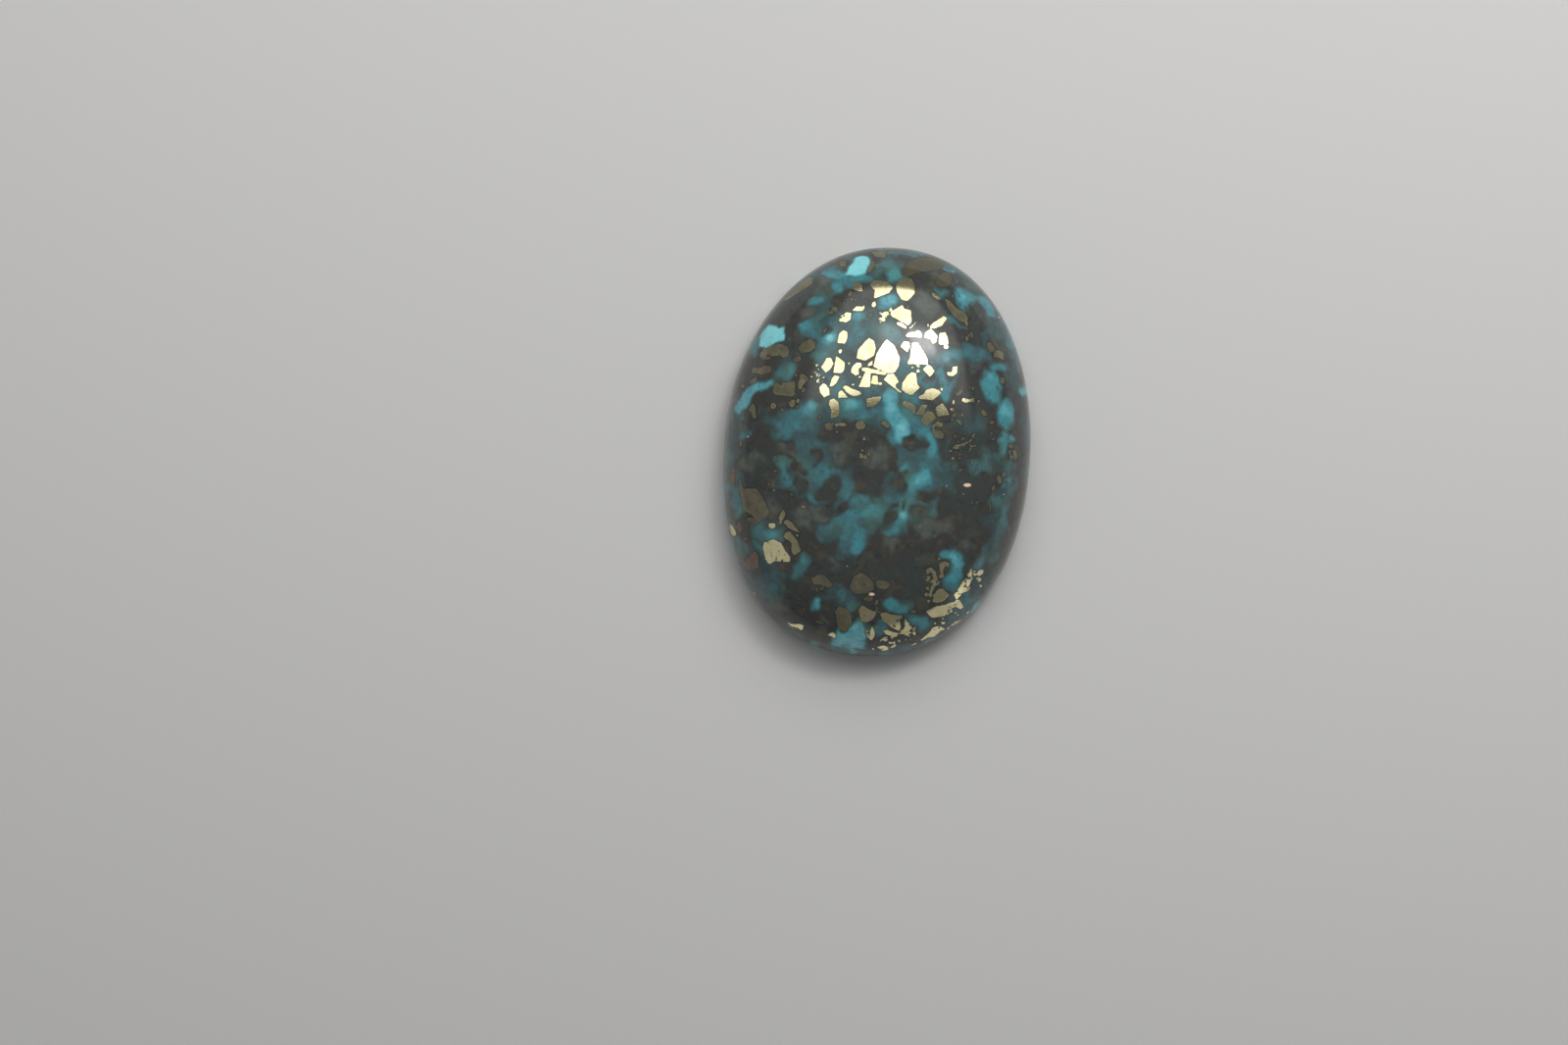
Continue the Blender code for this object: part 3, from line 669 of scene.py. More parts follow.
# A crumb is (x, y, long, wide, turn in degrees).
CLEAN_CRUMBS = (
    (-0.3, 13.65, 0.6, 0.45, 60), (1.25, 13.2, 0.45, 0.25, 60), (-3.45, 9.3, 0.55, 0.3, 60),
    (-5.6, 8.03, 0.42, 0.28, 95), (-5.65, 7.25, 0.75, 0.18, -50), (-5.5, 6.6, 0.5, 0.22, 65),
    (-4.95, 6.9, 0.25, 0.2, 0), (-2.25, 6.25, 0.3, 0.25, 20), (6.4, 9.75, 0.5, 0.45, 80),
    (4.7, 11.8, 0.4, 0.2, 70), (3.8, 7.5, 0.38, 0.32, 0), (6.0, 5.8, 0.32, 0.26, -40),
    (7.1, 4.6, 0.55, 0.2, 85), (6.9, 3.95, 0.3, 0.2, 80), (9.4, 4.7, 0.3, 0.2, 0),
    (-7.35, 4.75, 0.4, 0.25, 70), (-3.2, 2.55, 0.7, 0.35, 0), (-1.5, -0.4, 0.5, 0.25, 70),
    (-6.85, -5.1, 0.5, 0.22, 0), (0.6, -17.35, 1.05, 0.2, 25), (1.45, -18.05, 0.7, 0.15, 25),
    (-0.4, -18.25, 0.4, 0.25, -20),
    (5.3, -12.1, 0.6, 0.16, 65), (7.6, 0.62, 1.1, 0.1, 8),
    (8.3, 0.85, 0.8, 0.09, 15), (7.3, 0.35, 0.6, 0.1, -5),
    (8.9, 0.55, 0.6, 0.09, 10), (7.5, -0.05, 0.5, 0.1, -10), (8.8, -0.95, 0.7, 0.09, 84),
    (5.75, -9.9, 0.32, 0.2, 70), (5.65, -12.2, 0.5, 0.18, 60), (6.1, -15.85, 0.42, 0.26, -10),
    (5.4, -15.9, 0.35, 0.2, 0), (7.0, -16.1, 0.6, 0.2, 45), (7.65, -15.75, 0.55, 0.15, 30),
    (8.45, -14.95, 0.55, 0.18, 35), (3.45, -17.85, 0.65, 0.18, 25), (4.35, -17.35, 0.7, 0.16, 25),
    (4.9, -17.15, 0.3, 0.15, 0), (3.5, -16.8, 0.5, 0.28, 80),
    (8.7, -11.0, 0.4, 0.16, 70), (-2.6, 8.2, 0.25, 0.2, 60),
    (-1.6, 6.95, 0.35, 0.2, 0), (1.2, -17.7, 0.35, 0.2, 0), (3.9, 18.4, 0.25, 0.2, 0),
    (-0.4, 5.65, 0.2, 0.14, -50), (8.3, 11.85, 0.42, 0.24, -60), (-8.65, 9.3, 0.3, 0.24, 0),
    (10.1, 7.1, 0.3, 0.2, 60), (-1.4, -0.35, 0.4, 0.2, 80), (-1.05, -0.6, 0.22, 0.2, 0),
    (-9.0, -6.6, 0.26, 0.2, 0), (-7.4, -7.75, 0.35, 0.2, -40), (2.9, 13.45, 0.22, 0.2, 0),
)
# Dull crumbs, partly tarnish and partly painted shade, as for the dull flakes
DULL_AND_SHADED_CRUMBS = (
    (-2.5, 14.7, 0.5, 0.32, 60), (10.65, 2.7, 0.5, 0.4, 0), (7.65, 2.75, 0.9, 0.35, -45),
    (11.85, -2.05, 0.55, 0.35, -30), (10.8, -3.35, 0.6, 0.3, 80), (10.5, -5.1, 1.2, 0.15, 85),
    (-5.15, -12.7, 0.5, 0.25, -20), (-0.05, -13.95, 0.8, 0.28, 60), (-1.8, -18.4, 0.6, 0.28, 0),
    (3.35, -14.8, 0.7, 0.28, 0), (-7.45, 8.6, 0.8, 0.55, 20), (-6.8, 6.9, 1.0, 0.6, -40),
    (-10.4, 8.7, 0.6, 0.3, 20), (-5.3, -15.8, 1.1, 0.3, -15), (1.4, 18.7, 0.9, 0.2, 0),
    (-7.5, 7.1, 0.3, 0.24, 60), (-9.4, -0.6, 0.7, 0.22, -65),
    (-7.9, -3.95, 0.4, 0.22, -20), (7.0, 14.5, 0.4, 0.3, 60), (-0.6, 12.7, 0.6, 0.3, 40),
    (9.2, -1.5, 0.5, 0.2, 80), (7.7, -1.7, 0.5, 0.2, 20), (7.4, 0.5, 0.6, 0.2, 10),
    (-0.6, -0.4, 0.35, 0.2, 60), (-4.9, -5.2, 0.4, 0.2, -60),
)
RUSTY_CRUMBS = (
    (-13.7, 0.8, 0.9, 0.2, 85), (-12.65, 0.8, 0.8, 0.28, 85), (-12.2, -8.05, 0.6, 0.35, 20),
    (-13.75, -4.0, 0.6, 0.12, 85), (-5.35, 3.2, 0.4, 0.3, 60), (3.4, 1.6, 0.35, 0.1, 0),
)
# Fields of small chips, each (x, y, reach, number, dullness), where a high dullness is partly tarnish and
# partly painted shade
CHIP_FIELDS = (
    (8.2, 0.6, 1.4, 14, 0.9), (12.5, 0.0, 0.7, 6, 0.9), (11.6, -2.4, 0.7, 6, 0.9), (-1.3, -0.4, 0.6, 6, 0.5),
    (-9.6, -2.2, 1.6, 9, 1.0), (9.2, -11.7, 1.0, 14, 0.3),
    (5.2, -11.6, 0.8, 10, 0.5), (7.0, -15.9, 1.3, 18, 0.3),
    (3.4, -16.8, 0.7, 6, 0.4), (0.9, -17.9, 0.9, 10, 0.3),
    (-2.9, 14.4, 0.7, 6, 0.9), (0.6, 12.5, 0.6, 5, 0.5),
    (-7.3, 6.1, 0.8, 6, 1.0), (-8.2, 4.4, 0.9, 6, 1.0), (11.0, 1.6, 0.6, 5, 0.9), (-5.4, 7.2, 0.8, 8, 0.2),
    (3.2, 8.3, 0.7, 4, 0.4), (-0.2, 6.1, 0.6, 5, 0.2), (7.4, 3.4, 0.8, 8, 1.0), (8.2, 5.2, 1.0, 6, 0.9),
    (-4.2, 13.3, 0.6, 5, 1.0), (-10.5, 8.9, 0.8, 6, 0.9),
    (-0.6, -16.9, 0.5, 4, 0.6), (7.6, 13.0, 0.8, 5, 1.0),
    (-12.0, 5.9, 0.6, 4, 0.9), (8.6, 11.0, 0.6, 4, 0.9), (-5.6, -12.3, 0.9, 6, 1.0), (5.6, 2.3, 0.6, 5, 0.7),
    (-3.9, 2.4, 0.6, 5, 0.6), (2.0, -17.2, 0.8, 6, 0.4), (0.0, -14.2, 0.7, 5, 1.0), (-7.6, 8.4, 0.7, 4, 1.0),
)
# Fields of pits in the flakes, each (x, y, reach, number)
PITTED_FIELDS = (
    (1.4, -15.6, 0.9, 10), (2.6, -16.4, 0.6, 6), (5.6, -16.6, 0.7, 7), (7.9, -12.7, 0.8, 8),
    (-9.4, -9.2, 1.1, 7), (5.1, -12.9, 0.5, 4), (7.0, -14.2, 0.9, 6), (1.2, -16.9, 0.7, 5),
    (-3.0, 12.4, 0.5, 3), (0.7, 12.5, 0.5, 5), (-7.4, -16.1, 0.6, 4), (0.4, -18.2, 0.6, 4),
    (5.9, -11.0, 0.8, 10), (5.0, -11.1, 0.5, 5), (4.7, 3.4, 0.8, 4), (-9.2, 9.3, 0.9, 5), (-8.6, 5.9, 0.8, 3),
)
# Painted highlights: warm white colour where a crystal face would catch the lamp, each (x, y, long, wide)
PAINTED_GLINTS = ((8.37, -3.08, 1.3, 0.62), (-0.5, -13.2, 1.0, 0.55))
# Dark specks of rock that break the bigger flakes
FLAKE_HOLES = (
    (-9.65, 4.28, 0.26, 0.2, 0), (1.85, -15.65, 0.3, 0.22, 60), (2.35, -15.9, 0.3, 0.3, 0),
    (8.17, -12.4, 0.5, 0.2, 55), (8.45, -12.55, 0.3, 0.12, 55), (-9.9, -9.1, 0.16, 0.12, 0),
    (-9.8, -9.65, 0.25, 0.12, -40), (1.33, 6.85, 0.16, 0.14, 0), (-3.3, 12.5, 0.26, 0.16, 30),
    (3.45, 6.2, 0.14, 0.12, 0), (-0.45, -17.0, 0.22, 0.16, 60), (6.1, -15.85, 0.2, 0.1, 0),
    (-9.7, -9.0, 0.9, 0.07, -8), (-9.3, -9.65, 0.8, 0.07, 15), (-9.8, -9.4, 0.6, 0.07, 85),
    (-9.1, -9.2, 0.6, 0.07, 65), (-1.2, -12.3, 0.3, 0.2, 20), (-1.7, -12.2, 0.2, 0.16, 0),
    (-1.2, -15.2, 0.2, 0.16, 0), (-0.7, -15.1, 0.16, 0.12, 0),
)
# Pale specks of quartz, each (x, y, size)
QUARTZ_SPECKS = (
    (7.45, 15.75, 0.22), (-2.9, 14.45, 0.2), (-2.05, 14.1, 0.2), (3.85, 16.55, 0.15), (8.5, 10.75, 0.24),
    (-1.2, 1.2, 0.28), (6.8, 0.1, 0.22), (7.0, -0.6, 0.24), (8.05, 0.6, 0.22), (8.7, 0.65, 0.2),
    (6.45, -3.15, 0.24), (8.0, -3.9, 0.2), (12.3, -0.1, 0.24), (11.75, -3.95, 0.24), (0.2, -14.85, 0.24),
    (5.1, 8.3, 0.2), (9.7, 12.65, 0.18), (7.9, 3.45, 0.2), (-9.55, -3.55, 0.22), (-7.15, -13.65, 0.18),
    (-6.85, -14.55, 0.2), (5.4, -7.8, 0.2), (-2.8, -10.6, 0.24), (-12.0, 1.4, 0.3),
    (-4.25, -17.9, 0.15), (-10.1, -5.8, 0.2), (-11.4, -7.95, 0.2), (4.0, -6.9, 0.2), (9.3, 5.6, 0.15),
)

shapes = random.Random(11)


def crumb_outline(x, y, long, wide, turn):
    """An uneven chip of five to seven corners, with this middle and size."""
    corners = shapes.randint(5, 7)
    turn = math.radians(turn)
    outline = []
    for number in range(corners):
        angle = 2 * math.pi * (number + shapes.uniform(-0.25, 0.25)) / corners
        reach = shapes.uniform(0.85, 1.12)
        along = reach * math.cos(angle) * long / 2
        over = reach * math.sin(angle) * wide / 2
        outline.append(
            (
                x + along * math.cos(turn) - over * math.sin(turn),
                y + along * math.sin(turn) + over * math.cos(turn),
            )
        )
    return outline


def depth_in_outline(outline, x, y):
    """How far each place lies inside the outline, and below zero outside it."""
    nearest = np.full(x.shape, np.inf)
    inside = np.zeros(x.shape, bool)
    for (start_x, start_y), (end_x, end_y) in zip(outline, outline[1:] + outline[:1]):
        side_x, side_y = end_x - start_x, end_y - start_y
        from_x, from_y = x - start_x, y - start_y
        share = np.clip((from_x * side_x + from_y * side_y) / (side_x**2 + side_y**2), 0, 1)
        nearest = np.minimum(nearest, np.hypot(from_x - share * side_x, from_y - share * side_y))
        passes = (start_y > y) != (end_y > y)
        inside ^= passes & (from_x < from_y * side_x / (side_y or 1.0))
    return np.where(inside, nearest, -nearest)


def depth_in_stroke(stroke, x, y):
    """The same for a stroke, whose radius changes evenly from each of its points to the next."""
    depth = np.full(x.shape, -np.inf)
    for start, end in zip(stroke, stroke[1:] or stroke):
        side_x, side_y = end[0] - start[0], end[1] - start[1]
        from_x, from_y = x - start[0], y - start[1]
        length = side_x**2 + side_y**2 or 1.0
        share = np.clip((from_x * side_x + from_y * side_y) / length, 0, 1)
        radius = start[2] + share * (end[2] - start[2])
        depth = np.maximum(depth, radius - np.hypot(from_x - share * side_x, from_y - share * side_y))
    return depth


# Flakes and grains are worked out this far past their outlines, in millimetres.
MARK_MARGIN = 0.7
# For each kind of cloud: how light its turquoise is, how wide its edge fades and how far the edge
# wanders, both in millimetres, and whether rock shows through it.
CLOUD_KINDS = {
    "haze": (0.23, 1.3, 0.5, False),
    "web": (0.41, 0.9, 0.4, True),
    "veil": (0.34, 1.0, 0.4, False),
    "deep": (0.48, 0.7, 0.3, False),
    "mid": (0.59, 0.5, 0.16, False),
    "bright": (0.74, 0.42, 0.14, False),
    "light": (0.86, 0.5, 0.16, False),
    "pale": (1.0, 0.26, 0.08, False),
    "rock": (0.0, 0.5, 0.3, False),
    "grey": (1.0, 0.9, 0.4, False),
}
# Clouds are painted this much fuller, in millimetres, since their soft edges eat into them.
CLOUD_SWELL = 0.1
# The grain of the wandering and that of the rock in the webs, in millimetres
WANDER_GRAIN = 1.5
WEB_GRAIN = 1.3
# The share of a web that is rock, and how softly the rock ends
WEB_HOLES = 0.42
HOLE_SOFTNESS = 0.4


def soft_step(share):
    """Eases each share from 0 to 1."""
    share = np.clip(share, 0, 1)
    return share * share * (3 - 2 * share)


def unevenness(grain, start):
    """Natural noise at every vertex, with grains of this size, spread evenly from 0 to 1."""
    start = Vector((start, start, start))
    heights = np.array([noise.fractal(Vector(place) / grain + start, 0.8, 2.0, 2) for place in places])
    return heights.argsort().argsort() / len(heights)


class Skin:
    """The marks' strength at every vertex, on one plan of the stone's face or back."""

    def __init__(self, plan, shown):
        self.plan = plan
        self.shown = shown
        count = len(plan)
        self.turquoise = np.zeros(count)
        self.grey = np.zeros(count)
        self.pyrite = np.full(count, -MARK_MARGIN)
        self.dullness_and_shade = np.zeros(count)
        self.quartz = np.full(count, -MARK_MARGIN)
        self.painted_glint = np.zeros(count)

    def near(self, shape, reach):
        """The vertices within this reach of the box round the shape, and their places on the plan."""
        low = np.min([point[:2] for point in shape], axis=0) - reach
        high = np.max([point[:2] for point in shape], axis=0) + reach
        inside = self.shown & np.all((self.plan > low) & (self.plan < high), axis=1)
        return np.nonzero(inside)[0]

    def add_cloud(self, row, shape, kind):
        """Lays one soft shape of this kind over a row."""
        tone, soft, wander, has_holes = CLOUD_KINDS[kind]
        widest = max((point[2] for point in shape if len(point) == 3), default=0.0)
        where = self.near(shape, widest + soft + wander)
        # A cloud is laid on a wandering plan, so that its edge isn't even.
        x, y = (self.plan[where] + wander * 2 * (wandering[where] - 0.5)).T
        depth = depth_in_stroke(shape, x, y) if widest else depth_in_outline(shape, x, y)
        cover = soft_step(0.5 + (depth + CLOUD_SWELL) / soft)
        if has_holes:
            cover *= soft_step((web_holes[where] - WEB_HOLES) / HOLE_SOFTNESS + 0.5)
        row[where] += cover * (tone - row[where])

    def add_flake(self, outline, dullness_and_shade):
        """Lets one flake of pyrite into the rock."""
        where = self.near(outline, MARK_MARGIN)
        depth = depth_in_outline(outline, *self.plan[where].T)
        self.dullness_and_shade[where] = np.where(depth > self.pyrite[where], dullness_and_shade, self.dullness_and_shade[where])
        self.pyrite[where] = np.maximum(self.pyrite[where], depth)

    def break_flake(self, outline):
        """Leaves a speck of rock inside a flake."""
        where = self.near(outline, MARK_MARGIN)
        depth = depth_in_outline(outline, *self.plan[where].T)
        self.pyrite[where] = np.minimum(self.pyrite[where], -depth)

    def add_quartz(self, outline):
        """Lets one pale grain into the rock."""
        where = self.near(outline, MARK_MARGIN)
        depth = depth_in_outline(outline, *self.plan[where].T)
        self.quartz[where] = np.maximum(self.quartz[where], depth)

    def add_painted_glint(self, x, y, long, wide):
        """Paints one highlight where a crystal face would catch the lamp, fading out to this length and
        width.
        """
        where = self.near(((x, y),), MARK_MARGIN)
        away = (self.plan[where] - (x, y)) / (long / 2, wide / 2)
        self.painted_glint[where] = np.maximum(self.painted_glint[where], soft_step(1 - np.hypot(*away.T)))


# How dull each kind of pyrite is: clean is brassy; olive and dull have nearly no mirror and an olive
# colour, which is painted shade on the olive flakes and partly tarnish, partly painted shade on the
# dull ones; shaded dark is painted shade, darker still; and rusty is brown.
CLEAN, SHADED_OLIVE, DULL_AND_SHADED, SHADED_DARK, RUSTY = 0.0, 0.85, 1.0, 1.2, 2.0
CRUMB_TARNISH = 0.3
# The least and greatest length of a small chip or pit, in millimetres, and its width's share of that
CHIP_LENGTHS = (0.16, 0.42)
CHIP_WIDTHS = (0.4, 0.9)
PIT_LENGTHS = (0.14, 0.36)
PIT_WIDTH = 0.6
QUARTZ_WIDTH = 0.8


def place_in_field(x, y, reach):
    """A chance place within reach of the middle of a field."""
    away, bearing = reach * math.sqrt(shapes.random()), shapes.uniform(0, 2 * math.pi)
    return x + away * math.cos(bearing), y + away * math.sin(bearing)


def as_photographed(plan, height):
    """Turns places in the stone's own frame to where the photograph shows them."""
    x = plan[:, 0] * math.cos(LEAN) + plan[:, 1] * math.sin(LEAN)
    y = plan[:, 1] * math.cos(LEAN) - plan[:, 0] * math.sin(LEAN)
    nearer = SEEN_HEIGHT / (SEEN_HEIGHT - np.maximum(height - GIRDLE_HEIGHT, 0))
    x = SEEN_FROM[0] + (x - SEEN_FROM[0]) * nearer
    y = SEEN_FROM[1] + (y - SEEN_FROM[1]) * nearer
    return np.stack([x, y], axis=1)


wandering = np.stack([unevenness(WANDER_GRAIN, 3.0), unevenness(WANDER_GRAIN, 47.0)], axis=1)
web_holes = unevenness(WEB_GRAIN, 91.0)
everywhere = np.ones(len(places), bool)
face = Skin(as_photographed(spots, places[:, 2]), everywhere)
for kind, shapes_of_kind in TURQUOISE.items():
    for shape in shapes_of_kind:
        face.add_cloud(face.turquoise, shape, kind)
for shape in ROCK_ISLANDS:
    face.add_cloud(face.turquoise, shape, "rock")
for shape in GREY_ROCK:
    face.add_cloud(face.grey, shape, "grey")
for outlines, dullness_and_shade in (
    (CLEAN_FLAKES, CLEAN),
    (SHADED_OLIVE_FLAKES, SHADED_OLIVE),
    (DULL_AND_SHADED_FLAKES, DULL_AND_SHADED),
    (SHADED_DARK_FLAKES, SHADED_DARK),
    (RUSTY_FLAKES, RUSTY),
):
    for outline in outlines:
        face.add_flake(outline, dullness_and_shade)
for crumb in CLEAN_CRUMBS:
    face.add_flake(crumb_outline(*crumb), shapes.uniform(CLEAN, CRUMB_TARNISH))
for crumb in DULL_AND_SHADED_CRUMBS:
    face.add_flake(crumb_outline(*crumb), DULL_AND_SHADED)
for crumb in RUSTY_CRUMBS:
    face.add_flake(crumb_outline(*crumb), RUSTY)
for x, y, reach, number, dullness_and_shade in CHIP_FIELDS:
    for _ in range(number):
        middle = place_in_field(x, y, reach)
        long = shapes.uniform(*CHIP_LENGTHS)
        wide = long * shapes.uniform(*CHIP_WIDTHS)
        face.add_flake(crumb_outline(*middle, long, wide, shapes.uniform(0, 180)), dullness_and_shade)
for x, y, reach, number in PITTED_FIELDS:
    for _ in range(number):
        middle = place_in_field(x, y, reach)
        long = shapes.uniform(*PIT_LENGTHS)
        face.break_flake(crumb_outline(*middle, long, long * PIT_WIDTH, shapes.uniform(0, 180)))
for crumb in FLAKE_HOLES:
    face.break_flake(crumb_outline(*crumb))
for x, y, size in QUARTZ_SPECKS:
    face.add_quartz(crumb_outline(x, y, size, size * QUARTZ_WIDTH, 0))
# Painted highlights on two crystal faces
for painted_glint in PAINTED_GLINTS:
    face.add_painted_glint(*painted_glint)

# The photograph doesn't show the lower sides and the back, so their marks are scattered by chance,
# of the same kinds and sizes. The sides' marks lie outside the outline on the unrolled plan.
scatter = random.Random(23)
SIDE_CLOUDS = 90
SIDE_CRUMBS = 130
BACK_CLOUDS = 150
BACK_CRUMBS = 260
SIDE_START, SIDE_END = 1.015, 1.16
BACK_END = 0.9
CHANCE_KINDS = ("bright", "mid", "mid", "deep", "deep", "web", "web", "web", "haze", "haze", "haze")
# The thin kinds of cloud spread twice as wide.
THIN_KINDS = ("web", "haze")
CHANCE_RADII = (0.3, 0.7)
CHANCE_LENGTHS = (0.0, 1.8)
# A cloud's far end is this share as wide as its near end.
TAPER = 0.8
# Most chance crumbs are near the least length, and a few are up to the spread longer.
LEAST_CRUMB = 0.22
CRUMB_SPREAD = 1.2
CRUMB_WIDTHS = (0.35, 0.9)
CHANCE_DULLNESS = (0.0, 0.3, 0.6, 1.0)
# The back is the skin that lies lower than this, in millimetres.
BACK_LEVEL = 0.0001


def scattered_place(start, end):
    """A chance place between these shares of the way out to the girdle."""
    bearing = scatter.uniform(-math.pi, math.pi)
    share = math.sqrt(scatter.uniform(start**2, end**2))
    radius = float(plan_radius(np.array(bearing))) * share
    return radius * math.cos(bearing), radius * math.sin(bearing)


def scatter_marks(skin, start, end, clouds, crumbs):
    """Scatters clouds and crumbs between two shares of the way out to the girdle."""
    for _ in range(clouds):
        x, y = scattered_place(start, end)
        kind = scatter.choice(CHANCE_KINDS)
        radius = scatter.uniform(*CHANCE_RADII) * (2 if kind in THIN_KINDS else 1)
        lean = scatter.uniform(-math.pi, math.pi)
        length = scatter.uniform(*CHANCE_LENGTHS)
        far = (x + length * math.cos(lean), y + length * math.sin(lean), radius * TAPER)
        skin.add_cloud(skin.turquoise, ((x, y, radius), far), kind)
        x, y = scattered_place(start, end)
        skin.add_cloud(skin.grey, ((x, y, radius),), "grey")
    for _ in range(crumbs):
        x, y = scattered_place(start, end)
        long = LEAST_CRUMB + CRUMB_SPREAD * scatter.random() ** 4
        wide = long * scatter.uniform(*CRUMB_WIDTHS)
        outline = crumb_outline(x, y, long, wide, scatter.uniform(0, 180))
        skin.add_flake(outline, scatter.choice(CHANCE_DULLNESS))


scatter_marks(face, SIDE_START, SIDE_END, SIDE_CLOUDS, SIDE_CRUMBS)
on_back = places[:, 2] < BACK_LEVEL
back = Skin(places[:, :2], on_back)
scatter_marks(back, 0.0, BACK_END, BACK_CLOUDS, BACK_CRUMBS)
flake_is_backs = back.pyrite > face.pyrite
marks = {
    "turquoise": np.where(on_back, back.turquoise, face.turquoise),
    "grey": np.where(on_back, back.grey, face.grey),
    "pyrite": np.maximum(face.pyrite, back.pyrite),
    "dullness_and_shade": np.where(flake_is_backs, back.dullness_and_shade, face.dullness_and_shade),
    "quartz": np.maximum(face.quartz, back.quartz),
    "painted_glint": face.painted_glint,
    "ground": on_back.astype(float),
}
for name, strength in marks.items():
    row = stone_mesh.attributes.new(name, "FLOAT", "POINT")
    row.data.foreach_set("value", strength.astype(np.float32))

# The finish of the stone: natural turquoise and pyrite in dark host rock, polished to a wet gloss on
# the dome and left ground on the back. The rock gives a soft blue-green glow with a thin clear
# reflection over it, and the pyrite, being metal bright, mirrors the light or goes olive away from it.
STONE_IOR = 1.5
POLISHED_ROUGHNESS = 0.12
GROUND_ROUGHNESS = 0.5
PYRITE_ROUGHNESS = 0.1
# Dull pyrite shows this share of a clean flake's mirror.
DULL_MIRROR = 0.06
# The grains of other colours in the brown-black host rock are each (colour, size in millimetres,
# detail, shift, where the noise starts them, where it makes them full, most cover).
HOST_ROCK = "4d4c48"
ROCK_GRAINS = (
    ("49514f", 2.4, 3.0, 0.0, 0.38, 0.62, 1.0),
    ("424646", 0.8, 3.0, 5.0, 0.5, 0.72, 1.0),
    ("5e625a", 0.6, 3.0, 9.0, 0.58, 0.8, 1.0),
    ("64604f", 1.5, 2.0, 12.0, 0.54, 0.66, 0.5),
)
# Turquoise from a thin stain in the rock to pure and pale, each (lightness, colour)
TURQUOISE_TONES = (
    (0.0, "475150"),
    (0.18, "4a5e5e"),
    (0.35, "526f73"),
    (0.48, "51858b"),
    (0.64, "57a5b0"),
    (0.8, "74c2cd"),
    (1.0, "97f2f8"),
)
# How cloudy the turquoise is inside, each (size in millimetres, detail, shift, swing in lightness)
CLOUDINESS = ((1.1, 3.5, 3.0, 0.36), (0.42, 3.0, 14.0, 0.2))
MOTE_DEPTH = 0.14
# Where a flake's edge and the dark seam round it start and end, in millimetres inside its outline,
# with the unevenness of the edge, which is this wide, added on
EDGE_UNEVENNESS = 0.12
FLAKE_EDGE = (0.03, 0.09)
SEAM_EDGE = (-0.1, 0.04)


def colour(text):
    """A linear colour from its sRGB hex digits."""
    parts = [int(text[i : i + 2], 16) / 255 for i in (0, 2, 4)]
    return [c / 12.92 if c <= 0.04045 else ((c + 0.055) / 1.055) ** 2.4 for c in parts] + [1.0]


def add_node(tree, kind, inputs=None, **settings):
    """Adds a node, with its settings, and its inputs from values or other nodes' outputs."""
    node = tree.nodes.new(kind)
    for name, value in settings.items():
        setattr(node, name, value)
    for name, value in (inputs or {}).items():
        if isinstance(value, bpy.types.NodeSocket):
            tree.links.new(value, node.inputs[name])
        else:
            node.inputs[name].default_value = value
    return node


